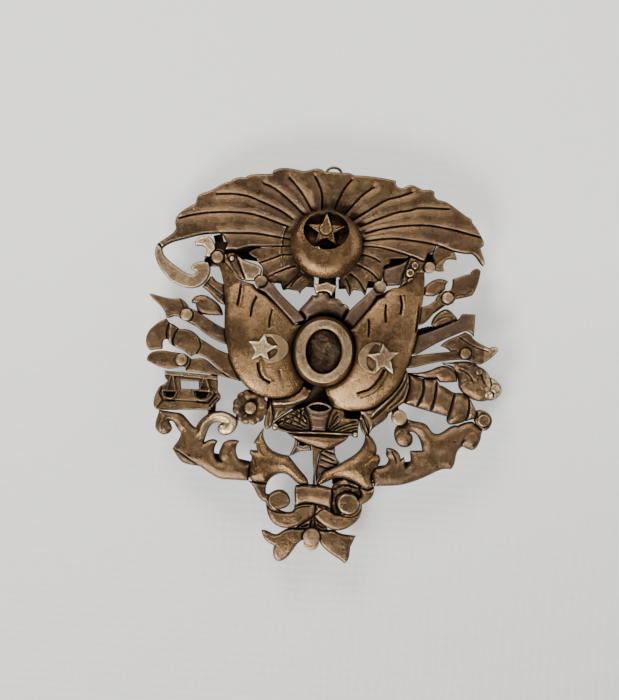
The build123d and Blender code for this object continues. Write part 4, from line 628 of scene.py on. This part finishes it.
vaseBody = {"face": 3.6, "edge": 2.5, "round": 0.8, "step": 0.1, "uneven": 0.04, "finish": "dullBrass",
    "plates": [([(-2.1, -10.2), (-1.3, -9.75), (-0.2, -9.6), (1, -9.75), (1.7, -10.2), (1, -10.7),
    (-0.2, -10.9), (-1.4, -10.7)], 2.5)], "beads": [([[(-2.3, -10.2), (-1.4, -9.55), (-0.2, -9.35),
    (1.1, -9.55), (1.95, -10.2), (1.1, -10.85), (-0.2, -11.1), (-1.5, -10.85), (-2.3, -10.2)]], 0.16, 0.5),
    ([[(-1.5, -13.6), (0, -13.75), (1.5, -13.6)], [(-1.8, -11.7), (0, -12), (1.7, -11.7)]], 0.12, 0.2)]}
frond = {"face": 2.3, "edge": 1.9, "round": 0.3, "step": 0.1, "uneven": 0.08, "grooveWidth": 0.13,
    "grooveDepth": 0.35}
makePiece("vase", vaseBody, {**frond, "grooves": [[(-7.4, -13.5), (-5.5, -12.6), (-3.6, -11.4),
    (-2.8, -10.6)], [(-6.9, -13), (-5.2, -13.5), (-3, -14.2)], [(-5.8, -12.4), (-4.2, -13), (-2.4, -13.9)],
    [(-4.8, -11.8), (-3.5, -12.4), (-2.2, -13.2)], [(-3.9, -11.2), (-3, -11.8), (-2.2, -12.4)],
    [(-6.4, -13.6), (-6, -12.6)], [(-5, -13.4), (-4.6, -12.1)], [(-3.6, -13.4), (-3.2, -11.6)]],
    "beads": [([[(-2.9, -10.6), (-3, -11.8), (-2.4, -12.9)], [(-3.7, -10.9), (-3.6, -12)]], 0.16, 0.4)]},
    {**frond, "grooves": [[(2, -14.1), (3.4, -12.8), (4.6, -11.5)],
    [(2.8, -14.1), (4.4, -13.2), (6.6, -12.2)], [(3.8, -14.1), (5.4, -13.4), (7, -12.9)],
    [(5, -14.1), (6.8, -13.5)], [(2.2, -12.9), (2.6, -11.6), (3.2, -10.8)], [(1.9, -13.6), (3.4, -11.6)]],
    "beads": [([[(1.9, -14), (3.3, -12.7), (4.6, -11.7)], [(4.8, -12.05), (7, -12.05)]], 0.14, 0.45)]})
swagBar = {"face": 3.0, "edge": 2.6, "round": 0.3, "step": 0.1, "uneven": 0.03,
           "buttons": [(-7.85, -14.05, 0.5, 3.5), (6.6, -14.65, 0.42, 3.4)],
           "beads": [([[(-7.4, -14.3), (-6, -14.75), (-4.5, -14.9), (0, -14.75), (6, -14.65)]], 0.16, 0.4)]}
makePiece("swag", swagBar, {"face": 3.2, "edge": 2.1, "round": 1.6, "step": 0.12, "uneven": 0.05,
                            "grooves": [[(-4.6, -15.5), (-1, -15.35), (4.6, -15.4)]], "grooveDepth": 0.2,
                            "grooveWidth": 0.12})
web = {"face": 2.0, "edge": 1.6, "round": 0.3, "step": 0.1, "uneven": 0.1, "finish": "dullBrass"}
makePiece("centre_web", {"face": 2.9, "edge": 2.4, "round": 0.3, "step": 0.1},
    {**web, "face": 2.3, "beads": [([[(-3.9, -16.4), (-3.9, -17.4), (-4.6, -19)],
    [(-3.9, -17.4), (-2.6, -17.9), (-1.4, -17.7)]], 0.18, 0.35)], "plates": [([(-3.3, -16.6), (-1.9, -17),
    (-2.6, -17.4), (-3.4, -17.2)], 1.3)]}, {**web, "grooves": [[(0.9, -18.6), (3, -19.6)],
    [(0.8, -19.6), (3.4, -20.4)], [(0.6, -20.7), (2.2, -21.3)], [(1.6, -18), (3.4, -18.6)]],
    "grooveWidth": 0.16, "grooveDepth": 0.45})
print("centre made")


# acanthus scrolls, mantles, buckle, scrolls and bow

acanthus = {"face": 3.35, "edge": 2.3, "round": 1.7, "step": 0.14, "uneven": 0.04, "grooveWidth": 0.13,
            "grooveDepth": 0.35}
makePiece("left_acanthus", {**acanthus, "tints": [([(-21.4, -17.4), (-21, -14.6), (-19.2, -12.6),
    (-17.2, -12), (-15, -12.8), (-14.4, -15), (-15.4, -16.8), (-17.3, -17), (-18.5, -15.8), (-18.2, -14.4),
    (-19.2, -15), (-19.9, -16.8)], 0.75)], "grooves": [[(-27, -14), (-26.4, -14.27), (-25.87, -15.07),
    (-25.3, -15.73)], [(-26, -19.1), (-23.9, -20.2), (-22.4, -21.2), (-20.9, -22.1)],
    [(-20.5, -17.8), (-19.7, -17.3), (-18.8, -17.1), (-18.1, -17.3)],
    [(-14.5, -18.1), (-14.7, -18.9), (-14.3, -20), (-13.6, -20.8), (-12.5, -21.1)]],
    "beads": [([[(-15.4, -15.6), (-15.3, -14.2), (-15.8, -13.1), (-17.4, -12.4), (-19.3, -12.9),
    (-20.8, -14.4), (-21.2, -15.8)]], 0.7, 0.35), ([[(-27.9, -13.4), (-28.6, -14.8), (-28.4, -16)]], 0.4,
    0.2)]})
makePiece("right_acanthus", {**acanthus, "grooves": [
    [(25.9, -15.8), (25.9, -14.9), (26.5, -14.2)], [(17.4, -16.4), (17.9, -15.4), (17.6, -14.4)],
    [(13.4, -17.4), (14, -18.4), (14.2, -19.4)]],
    "buttons": [(27.55, -14.65, 1.35, 3.3), (15.35, -14.9, 1.35, 3.2)]})
mantle = {"face": 3.9, "edge": 2.4, "round": 2.4, "step": 0.13, "uneven": 0.03, "grooveWidth": 0.12,
          "grooveDepth": 0.25, "finish": "flagBrass"}
makePiece("left_mantle", {**mantle, "grooves": [[(-12, -19.4), (-11.2, -20.4), (-10.8, -21.6)],
    [(-12, -21.6), (-11, -22.4)], [(-11, -17.6), (-10.3, -18.6), (-9.6, -19.4)]]})
makePiece("right_mantle", {**mantle, "grooves": [[(11.2, -19.6), (10, -20.6), (9.4, -21.8)],
                                                 [(10.4, -17.8), (9.6, -18.9), (8.6, -19.8)]]})
makePiece("buckle_band", {"face": 4.0, "edge": 3.2, "round": 0.5, "ridge": (-5, -25.9, 5, -25.9, 2.3, 0.9),
    "step": 0.13, "uneven": 0.05})
scroll = {"face": 3.3, "edge": 2.5, "round": 0.8, "step": 0.12, "uneven": 0.05, "grooveWidth": 0.12,
          "grooveDepth": 0.4}
makePiece("left_scroll", {**scroll, "buttons": [(-6.3, -27.2, 1.9, 3.7)],
    "grooves": [[(-8.7, -27.9), (-7.9, -28.9), (-6.6, -29.4), (-5.2, -29.5)],
    [(-3.4, -28.7), (-2.2, -28.2), (-0.8, -28)]]})
makePiece("right_scroll", {**scroll, "buttons": [(6.1, -27.1, 1.9, 3.7)], "grooves": [
    [(8.6, -27.6), (8, -28.9), (6.8, -29.5), (5.2, -29.5)], [(3.2, -28.8), (2, -28.3), (0.8, -28)],
    [(0.3, -29.5), (1.2, -28.6), (2.2, -28.2)]]},
          {"face": 2.2, "edge": 1.7, "round": 0.4, "step": 0.12, "uneven": 0.3,
           "grooves": [[(3.6, -24.8), (5.2, -23.9), (7.4, -24.3)]], "grooveDepth": 0.4})
bowKnot = {"face": 2.3, "edge": 1.9, "round": 0.3, "step": 0.1, "uneven": 0.25,
    "grooves": [[(-1.9, -31.8), (-0.9, -31.3)], [(1.9, -31.8), (0.9, -31.3)],
    [(-0.5, -31.6), (-0.2, -30.6)], [(0.5, -31.6), (0.3, -30.6)]], "grooveDepth": 0.35, "grooveWidth": 0.13}
bowTail = {"face": 3.0, "edge": 2.3, "round": 0.6, "step": 0.14, "uneven": 0.07}
makePiece("bow", bowKnot, {**bowTail, "ridge": (-8, -35.8, 0, -32.8, 3.4, 0.5)},
          {**bowTail, "ridge": (8, -35.8, 0, -32.8, 3.4, 0.5)})
print("lower pieces made")


# arms behind the right flag

makePiece("flame_spear", {**arms, "ridge": (26.6, 15.6, 17.4, 7.2, 3, 0.3),
                          "grooves": [[(23, 11), (23.7, 11.5), (25, 11.7), (26, 12.4)]], "grooveDepth": 0.25})
makePiece("right_slip", {**arms, "face": 2.3, "edge": 1.7, "round": 0.8})
makePiece("right_leaf", {**arms, "face": 2.2, "edge": 1.6, "round": 0.8,
                         "grooves": [[(19.8, 6.3), (21.4, 7.4), (23, 7.5)]], "grooveDepth": 0.25})
makePiece("flat_bar", {**arms, "face": 2.8, "edge": 2.4, "round": 0.35, "finish": "dullBrass"})
makePiece("lance", {**arms, "tints": [([(28.8, -1.2), (28.8, 2.8), (33, 2.8), (33, -1.2)], 0.6)],
    "ridge": (31, 1.6, 15, -0.8, 3.4, 0.35), "grooves": [[(20.9, 1.9), (22.3, 1.9), (22.9, 1.5), (24, 1.5)],
    [(24.4, 3.9), (26.6, 2.6), (29.6, 1.6)]], "grooveDepth": 0.3})
makePiece("horn", {**arms, "tints": [([(29.4, -2), (33, -4), (33, -7.5), (29.4, -6.6)], 0.55)], "face": 3.3,
    "edge": 2.1, "round": 1.4, "uneven": 0.22, "grooveDepth": 0.35,
    "grooves": [[(24.6, -1.8), (26.2, -2.6), (27.4, -4.2)], [(28.4, -2), (28.8, -3.4), (29.6, -4.6)],
    [(30.2, -3.2), (30.6, -4.8), (31, -6.4)]], "buttons": [(31.2, -4.9, 0.8, 3.4), (30.2, -6.2, 0.7, 3.3),
    (28.1, -2.1, 0.6, 3.5)]})
makePiece("helmet", {**arms, "face": 2.9, "edge": 2.0, "round": 1.2})
cannon = {"face": 3.8, "edge": 2.2, "round": 1.8, "step": 0.14, "uneven": 0.06, "grooveWidth": 0.2,
    "grooveDepth": 0.6, "swell": (0.25, 0.8), "grooves": [[(18.2, -3.6), (18.3, -6.5), (17.3, -9.2)],
    [(20.7, -4.6), (20.4, -7.5), (19.8, -10)], [(24.1, -5.8), (23.6, -8.2), (23.1, -10.8)],
    [(26.7, -7), (26.7, -9.2), (26.2, -11.4)]]}
makePiece("cannon", cannon, {"face": 3.2, "edge": 2.5, "round": 0.5, "step": 0.12,
                             "buttons": [(29.45, -10.75, 1.1, 3.6)]})
print("right arms made")


# geometry node trees: swept wires, riveted heads, petals and solder beads

def makeTree(name, inputs):
    tree = bpy.data.node_groups.new(name, "GeometryNodeTree")
    tree.interface.new_socket("Geometry", in_out="INPUT", socket_type="NodeSocketGeometry")
    for label, (kind, value) in inputs.items():
        socket = tree.interface.new_socket(label, in_out="INPUT", socket_type=kind)
        if value is not None:
            socket.default_value = value
    tree.interface.new_socket("Geometry", in_out="OUTPUT", socket_type="NodeSocketGeometry")
    return tree, tree.nodes.new("NodeGroupInput"), tree.nodes.new("NodeGroupOutput")


def finishTree(tree, given, result, last):
    real = tree.nodes.new("GeometryNodeRealizeInstances")
    paint = tree.nodes.new("GeometryNodeSetMaterial")
    tree.links.new(last, real.inputs[0])
    tree.links.new(real.outputs[0], paint.inputs["Geometry"])
    tree.links.new(given.outputs["Metal"], paint.inputs["Material"])
    tree.links.new(paint.outputs[0], result.inputs[0])
    return tree


def wireTree():
    tree, given, result = makeTree("sweptWire", {"Wire radius": ("NodeSocketFloat", 0.0003),
                                                 "Sides": ("NodeSocketInt", 12),
                                                 "Metal": ("NodeSocketMaterial", None)})
    circle = tree.nodes.new("GeometryNodeCurvePrimitiveCircle")
    sweep = tree.nodes.new("GeometryNodeCurveToMesh")
    sweep.inputs["Fill Caps"].default_value = True
    tree.links.new(given.outputs["Sides"], circle.inputs["Resolution"])
    tree.links.new(given.outputs["Wire radius"], circle.inputs["Radius"])
    tree.links.new(given.outputs["Geometry"], sweep.inputs["Curve"])
    tree.links.new(circle.outputs[0], sweep.inputs["Profile Curve"])
    return finishTree(tree, given, result, sweep.outputs[0])


def headTree():
    tree, given, result = makeTree("rivetHeads", {"Head height": ("NodeSocketFloat", 0.8),
                                                  "Sides": ("NodeSocketInt", 40),
                                                  "Metal": ("NodeSocketMaterial", None)})
    disc = tree.nodes.new("GeometryNodeMeshCircle")
    disc.fill_type = "NGON"
    tree.links.new(given.outputs["Sides"], disc.inputs["Vertices"])
    body, base = disc.outputs[0], disc.outputs[0]
    top = None
    for share, inset in ((1.0, 0.985), (0.10, 0.93), (0.05, 0.84), (0.012, 0.4)):
        push = tree.nodes.new("GeometryNodeExtrudeMesh")
        height = addNode(tree, "ShaderNodeMath", {1: share}, operation="MULTIPLY")
        tree.links.new(given.outputs["Head height"], height.inputs[0])
        tree.links.new(body, push.inputs["Mesh"])
        tree.links.new(height.outputs[0], push.inputs["Offset Scale"])
        if top is not None:
            tree.links.new(top, push.inputs["Selection"])
        shrink = tree.nodes.new("GeometryNodeScaleElements")
        shrink.inputs["Scale"].default_value = inset
        tree.links.new(push.outputs["Mesh"], shrink.inputs["Geometry"])
        tree.links.new(push.outputs["Top"], shrink.inputs["Selection"])
        body, top = shrink.outputs[0], push.outputs["Top"]
    turnOver = tree.nodes.new("GeometryNodeFlipFaces")
    tree.links.new(base, turnOver.inputs[0])
    whole = tree.nodes.new("GeometryNodeJoinGeometry")
    tree.links.new(body, whole.inputs[0])
    tree.links.new(turnOver.outputs[0], whole.inputs[0])
    size = addNode(tree, "GeometryNodeInputNamedAttribute", {"Name": "headRadius"}, data_type="FLOAT")
    points = tree.nodes.new("GeometryNodeMeshToPoints")
    place = tree.nodes.new("GeometryNodeInstanceOnPoints")
    place.inputs["Rotation"].default_value = (math.pi / 2, 0, 0)
    tree.links.new(given.outputs["Geometry"], points.inputs["Mesh"])
    tree.links.new(points.outputs[0], place.inputs["Points"])
    tree.links.new(whole.outputs[0], place.inputs["Instance"])
    tree.links.new(size.outputs["Attribute"], place.inputs["Scale"])
    return finishTree(tree, given, result, place.outputs[0])


def petalTree():
    tree, given, result = makeTree("petalRing", {"Petals": ("NodeSocketInt", 6),
                                                 "Centre": ("NodeSocketVector", None),
                                                 "Metal": ("NodeSocketMaterial", None)})
    points = tree.nodes.new("GeometryNodePoints")
    index = tree.nodes.new("GeometryNodeInputIndex")
    share = addNode(tree, "ShaderNodeMath", operation="DIVIDE")
    turn = addNode(tree, "ShaderNodeMath", {1: 2 * math.pi}, operation="MULTIPLY")
    spin = tree.nodes.new("ShaderNodeCombineXYZ")
    place = tree.nodes.new("GeometryNodeInstanceOnPoints")
    tree.links.new(given.outputs["Petals"], points.inputs["Count"])
    tree.links.new(given.outputs["Centre"], points.inputs["Position"])
    tree.links.new(index.outputs[0], share.inputs[0])
    tree.links.new(given.outputs["Petals"], share.inputs[1])
    tree.links.new(share.outputs[0], turn.inputs[0])
    tree.links.new(turn.outputs[0], spin.inputs["Y"])
    tree.links.new(points.outputs[0], place.inputs["Points"])
    tree.links.new(given.outputs["Geometry"], place.inputs["Instance"])
    tree.links.new(spin.outputs[0], place.inputs["Rotation"])
    return finishTree(tree, given, result, place.outputs[0])


def beadTree():
    tree, given, result = makeTree("solderBeads", {"Bead radius": ("NodeSocketFloat", 0.0003),
                                                   "Spacing": ("NodeSocketFloat", 0.0006),
                                                   "Seed": ("NodeSocketInt", 7),
                                                   "Metal": ("NodeSocketMaterial", None)})
    line = tree.nodes.new("GeometryNodeMeshToCurve")
    spots = tree.nodes.new("GeometryNodeCurveToPoints")
    spots.mode = "LENGTH"
    ball = tree.nodes.new("GeometryNodeMeshIcoSphere")
    ball.inputs["Subdivisions"].default_value = 2
    sizes = tree.nodes.new("FunctionNodeRandomValue")
    sizes.inputs[2].default_value, sizes.inputs[3].default_value = 0.55, 1.25
    place = tree.nodes.new("GeometryNodeInstanceOnPoints")
    tree.links.new(given.outputs["Seed"], sizes.inputs["Seed"])
    tree.links.new(given.outputs["Bead radius"], ball.inputs["Radius"])
    tree.links.new(given.outputs["Geometry"], line.inputs[0])
    tree.links.new(line.outputs[0], spots.inputs[0])
    tree.links.new(given.outputs["Spacing"], spots.inputs["Length"])
    tree.links.new(spots.outputs["Points"], place.inputs["Points"])
    tree.links.new(ball.outputs[0], place.inputs["Instance"])
    tree.links.new(sizes.outputs[1], place.inputs["Scale"])
    return finishTree(tree, given, result, place.outputs[0])


trees = {"wire": wireTree(), "heads": headTree(), "petals": petalTree(), "beads": beadTree()}


def grownMesh(name, carrier, tree, settings, finish):
    scene.collection.objects.link(carrier)
    change = carrier.modifiers.new(name, "NODES")
    change.node_group = tree
    for socket in tree.interface.items_tree:
        if socket.in_out == "INPUT" and socket.name in settings:
            change[socket.identifier] = settings[socket.name]
        if socket.in_out == "INPUT" and socket.name == "Metal":
            change[socket.identifier] = metals[finish]
    bpy.context.view_layer.update()
    ready = carrier.evaluated_get(bpy.context.evaluated_depsgraph_get())
    mesh = bpy.data.meshes.new_from_object(ready)
    mesh.name = name
    bpy.data.objects.remove(carrier)
    return mesh


# painted shade: the relief value follows depth, darkest towards the back and lightest towards the front, so
# the parts near the plate look shaded
def tintMesh(mesh, low, high, dark=-0.9, light=0.05):
    if "relief" in mesh.attributes:
        mesh.attributes.remove(mesh.attributes["relief"])
    tint = mesh.attributes.new("relief", "FLOAT", "POINT")
    tint.data.foreach_set("value", [dark + (light - dark) * min(max((-v.co.y / mm - low) / (high - low), 0),
        1) for v in mesh.vertices])
    mesh.shade_smooth()
    mesh.set_sharp_from_angle(angle=math.radians(35))
    return mesh


def curveCarrier(name, points, closed=False):
    curve = bpy.data.curves.new(name, "CURVE")
    curve.dimensions = "3D"
    path = curve.splines.new("POLY")
    path.points.add(len(points) - 1)
    for spot, (x, depth, z) in zip(path.points, points):
        spot.co = (x * mm, -depth * mm, z * mm, 1)
    path.use_cyclic_u = closed
    return bpy.data.objects.new(name, curve)


def joined(name, meshes):
    work = bmesh.new()
    for mesh in meshes:
        work.from_mesh(mesh)
    whole = bpy.data.meshes.new(name)
    work.to_mesh(whole)
    work.free()
    return whole


rivets = {"spots": [
    (-20.0, 15.65, 1.1, 3.1), (-11.9, 11.7, 1.15, 3.6), (-24.9, 5.0, 1.1, 3.2), (-25.35, -3.1, 1.1, 3.2),
    (-12.45, -11.05, 1.1, 3.0), (9.45, 12.0, 1.15, 3.6), (18.15, 16.1, 1.0, 3.0), (21.7, 10.85, 1.05, 3.2),
    (25.5, 1.05, 1.0, 3.2), (14.3, -11.15, 1.4, 3.1)]}

headSeat = 1.0  # heads start on the plate


def headCarrier(name, spots):
    mesh = bpy.data.meshes.new(name)
    mesh.from_pydata([(x * mm, -headSeat * mm, z * mm) for x, z, radius, depth in spots], [], [])
    sizes = mesh.attributes.new("headRadius", "FLOAT", "POINT")
    sizes.data.foreach_set("value", [radius * mm for x, z, radius, depth in spots])
    return bpy.data.objects.new(name, mesh)


rivetMesh = grownMesh("rivet_heads", headCarrier("rivet_spots", rivets["spots"]), trees["heads"],
                      {"Head height": 2.1, "Sides": 40}, "paleBrass")
placePiece("rivet_heads", tintMesh(rivetMesh, 2.2, 3.0, -1.0, 0.1), "paleBrass", ["rivets"])
medalSpots = [(-0.15, -33.45, 1.55, 3.6), (-0.1, -34.6, 1.4, 2.6)]
medalMeshes = [grownMesh("medal_disc", headCarrier("medal_spot", [spot]), trees["heads"],
    {"Head height": (spot[3] - headSeat) / spot[2] * 0.86, "Sides": 48},
    "paleBrass") for spot in medalSpots]
placePiece("medal_discs", tintMesh(joined("medal_discs", medalMeshes), 1.7, 2.3, -1.0, -0.25), "paleBrass",
    ["medals"])
print("rivets made")

petal = {"face": 2.75, "edge": 2.2, "round": 0.8, "step": 0.1, "uneven": 0.05, "dish": (0, 0, 1.0, 2.4, 0.5)}
petalLoop = np.array([(-0.4, 0.1), (-1.05, 1.1), (-1.55, 2.0), (-1.5, 2.7), (-0.95, 3.1), (-0.35, 3.1),
    (0, 2.9), (0.35, 3.1), (0.95, 3.1), (1.5, 2.7), (1.55, 2.0), (1.05, 1.1), (0.4, 0.1)][::-1])
petalCarrier = bpy.data.objects.new("petal", reliefMesh("petal", [smoothLine(petalLoop, 0.2)], petal, 1.0))
flowerMesh = grownMesh("flower_petals", petalCarrier, trees["petals"],
                       {"Petals": 6, "Centre": (-12.5 * mm, 0, -10.9 * mm)}, "agedBrass")
placePiece("flower_petals", tintMesh(flowerMesh, 2.0, 2.7, -0.9, 0.0), "agedBrass", ["flower"])
print("flower made")

topRing = {"wire": 0.25, "half": 1.4, "rise": 0.35, "axis": 31.5, "depth": 0.25}
arch = [(-topRing["half"], topRing["depth"], topRing["axis"] + 0.1)]
for k in range(0, 25):
    angle = math.pi - math.pi * k / 24
    arch.append((topRing["half"] * math.cos(angle), topRing["depth"],
                 topRing["axis"] + topRing["rise"] + 1.4 * math.sin(angle) ** 0.8))
arch += [(topRing["half"], topRing["depth"], topRing["axis"] + 0.1),
    (topRing["half"] - 0.1, topRing["depth"], topRing["axis"]), (-topRing["half"] + 0.1, topRing["depth"],
    topRing["axis"])]
ringMesh = grownMesh("top_ring_wire", curveCarrier("ring_line", arch, True), trees["wire"],
                     {"Wire radius": topRing["wire"] * mm, "Sides": 14}, "ringBrass")
placePiece("top_ring_wire", tintMesh(ringMesh, 0, 0.5, 0, 0.3), "ringBrass", ["top_ring"], "ring")

cotter = {"wire": 0.5, "reach": 12.0, "loop": 1.6, "behind": -2.0}
pinLine = [(-cotter["reach"], cotter["behind"], 0)]
pinLine += [(x, cotter["behind"], 0) for x in (-11.6, -6, 0, 6, 11)]
for k in range(0, 31):
    angle = math.pi - 2 * math.pi * k / 30 * 0.97
    pinLine.append((cotter["reach"] + cotter["loop"] + cotter["loop"] * math.cos(angle), cotter["behind"],
                    cotter["loop"] * math.sin(angle)))
pinMesh = grownMesh("cotter_wire", curveCarrier("cotter_line", pinLine), trees["wire"],
                    {"Wire radius": cotter["wire"] * mm, "Sides": 16}, "steelWire")
placePiece("cotter_wire", tintMesh(pinMesh, -3, -1, 0, 0.1), "steelWire", ["cotter_pin"], "cotter")

strings = [[(-27.1, 2.75, -6), (-27.7, 2.6, -8.9)], [(-26.75, 2.75, -6), (-26.15, 2.6, -8.9)],
           [(-21.05, 2.75, -6), (-21.95, 2.6, -8.6)], [(-20.85, 2.75, -6), (-19.95, 2.6, -8.6)]]
stringMeshes = [grownMesh("scale_string", curveCarrier("string_line", line), trees["wire"],
                          {"Wire radius": 0.17 * mm, "Sides": 10}, "agedBrass") for line in strings]
placePiece("scale_strings", tintMesh(joined("scale_strings", stringMeshes), 2.4, 2.9, 0, 0.5), "agedBrass")

solder = {"radius": 0.32, "spacing": 0.55}
seams = [((-1.7, 14), (-1.7, 21)), ((1.5, 23.6), (1.5, 29)), ((-25, 22), (-14, 22.7)),
    ((14, 22.4), (24, 21.9)), ((-17, 2.2), (-24, 5.3)), ((-19, -3), (-26, -0.1)),
    ((-24, -20.5), (-15, -22)), ((12, -22), (22, -19.7)), ((-10.9, -21), (-10.5, -25.5)),
    ((10.2, -18), (10.3, -25)), ((16, 4.4), (25, 7.2)), ((16, -7), (25.5, -9.9)),
    ((0.7, -28), (0.8, -34.5)), ((-20, -7), (-20, -12.5)), ((25.5, -2), (30, -4.1))]
seamMesh = bpy.data.meshes.new("seam_lines")
seamMesh.from_pydata([(x * mm, -0.98 * mm, z * mm) for pair in seams for x, z in pair],
                     [(2 * k, 2 * k + 1) for k in range(len(seams))], [])
beadMesh = grownMesh("solder_beads", bpy.data.objects.new("seam_lines", seamMesh), trees["beads"],
    {"Bead radius": solder["radius"] * mm, "Spacing": solder["spacing"] * mm, "Seed": 7}, "backBrass")
placePiece("solder_beads", tintMesh(beadMesh, 0, 2, -0.1, 0.1), "backBrass")
print("wires and solder made")

for node in ("solder_strips", "centre_plate", "left_shank", "right_shank", "ring_staple"):
    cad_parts[node].data.materials.clear()
    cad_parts[node].data.materials.append(metals["backBrass"])


# the pale board behind, the lights and the camera

board = {"size": 0.7, "behind": 3.5, "tone": (0.30, 0.297, 0.29), "paintedGlow": 0.72}
boardMesh = bpy.data.meshes.new("board")
half = board["size"] / 2
boardMesh.from_pydata([(-half, board["behind"] * mm, -half), (half, board["behind"] * mm, -half),
    (half, board["behind"] * mm, half), (-half, board["behind"] * mm, half)], [], [(0, 1, 2, 3)])
boardPiece = bpy.data.objects.new("board", boardMesh)
scene.collection.objects.link(boardPiece)
boardFinish = bpy.data.materials.new("paleBoard")
boardFinish.use_nodes = True
tree = boardFinish.node_tree
shader = tree.nodes["Principled BSDF"]
shader.inputs["Base Color"].default_value = (*board["tone"], 1)
shader.inputs["Roughness"].default_value = 0.75
shader.inputs["Emission Color"].default_value = (1.0, 0.99, 0.97, 1)
place = tree.nodes.new("ShaderNodeTexCoord")
waves = []
for direction in ("X", "Z"):
    wave = addNode(tree, "ShaderNodeTexWave", {"Scale": 180.0, "Distortion": 3.0, "Detail": 2.0,
        "Detail Scale": 1.5}, wave_type="BANDS", bands_direction=direction)
    tree.links.new(place.outputs["Object"], wave.inputs["Vector"])
    waves.append(wave.outputs["Fac"])
grain = addNode(tree, "ShaderNodeTexNoise", {"Scale": 900.0, "Detail": 3.0})
tree.links.new(place.outputs["Object"], grain.inputs["Vector"])
height = joinMasks(tree, joinMasks(tree, waves[0], waves[1], "ADD"), grain.outputs["Fac"], "ADD")
bump = addNode(tree, "ShaderNodeBump", {"Strength": 0.25, "Distance": 0.00012})
tree.links.new(height, bump.inputs["Height"])
tree.links.new(bump.outputs["Normal"], shader.inputs["Normal"])
# painted light: the board glows on its own, brighter towards the top and dimmer towards the bottom; the glow
# lifts the shadows in the gaps and stands in for the falloff of the light
apart = tree.nodes.new("ShaderNodeSeparateXYZ")
tree.links.new(place.outputs["Object"], apart.inputs[0])
paintedGlow = addNode(tree, "ShaderNodeMapRange", {"From Min": -0.065, "From Max": 0.02,
    "To Min": board["paintedGlow"] * 0.36, "To Max": board["paintedGlow"]}, clamp=True)
tree.links.new(apart.outputs["Z"], paintedGlow.inputs["Value"])
tree.links.new(paintedGlow.outputs["Result"], shader.inputs["Emission Strength"])
side = tree.nodes.new("ShaderNodeNewGeometry")
clear = tree.nodes.new("ShaderNodeBsdfTransparent")
pick = tree.nodes.new("ShaderNodeMixShader")
tree.links.new(side.outputs["Backfacing"], pick.inputs[0])
tree.links.new(shader.outputs[0], pick.inputs[1])
tree.links.new(clear.outputs[0], pick.inputs[2])
tree.links.new(pick.outputs[0], tree.nodes["Material Output"].inputs["Surface"])
boardMesh.materials.append(boardFinish)

view = {"target": (-2.5, 0.0), "depth": 2.2, "distance": 300.0, "elevation": 0.0, "roll": 3.47,
    "frameHeight": 126.0}
tilt, lean = math.radians(view["elevation"]), math.radians(view["roll"])
target = Vector((view["target"][0], -view["depth"], view["target"][1])) * mm
outward = Vector((0, -math.cos(tilt), math.sin(tilt)))
camera = bpy.data.objects.new("camera", bpy.data.cameras.new("camera"))
scene.collection.objects.link(camera)
scene.camera = camera
upright = Vector((0, math.sin(tilt), math.cos(tilt)))
sideways = Vector((1, 0, 0))
camRight = sideways * math.cos(lean) + upright * math.sin(lean)
camUp = upright * math.cos(lean) - sideways * math.sin(lean)
camera.matrix_world = Matrix.Translation(target + outward * view["distance"] * mm) @ Matrix(
    (camRight, camUp, outward)).transposed().to_4x4()
camera.data.sensor_fit = "VERTICAL"
camera.data.angle = 2 * math.atan(view["frameHeight"] / 2 / view["distance"])
camera.data.clip_start = 0.01
camera.data.clip_end = 5

lights = {"key": ((-0.13, -0.26, 0.34), 0.16, 3.0, (1.0, 0.97, 0.93)),
          "window": ((-0.13, -0.24, -0.30), 0.16, 5.0, (1.0, 0.99, 0.96)),
          "side": ((0.34, -0.20, 0.10), 0.16, 1.2, (1.0, 0.98, 0.96)),
          "back": ((0.1, 0.35, 0.25), 0.3, 2.0, (1.0, 0.99, 0.97))}
for name, (spot, size, power, tone) in lights.items():
    lamp = bpy.data.lights.new(name, "AREA")
    lamp.size, lamp.energy, lamp.color = size, power, tone
    holder = bpy.data.objects.new(name, lamp)
    holder.location = spot
    holder.rotation_euler = (Vector((0, 0, 0)) - Vector(spot)).to_track_quat("-Z", "Y").to_euler()
    scene.collection.objects.link(holder)
world = bpy.data.worlds.new("paleRoom")
scene.world = world
world.use_nodes = True
world.node_tree.nodes["Background"].inputs["Color"].default_value = (0.93, 0.94, 0.96, 1)
world.node_tree.nodes["Background"].inputs["Strength"].default_value = 0.15
print("board, lights and camera set")
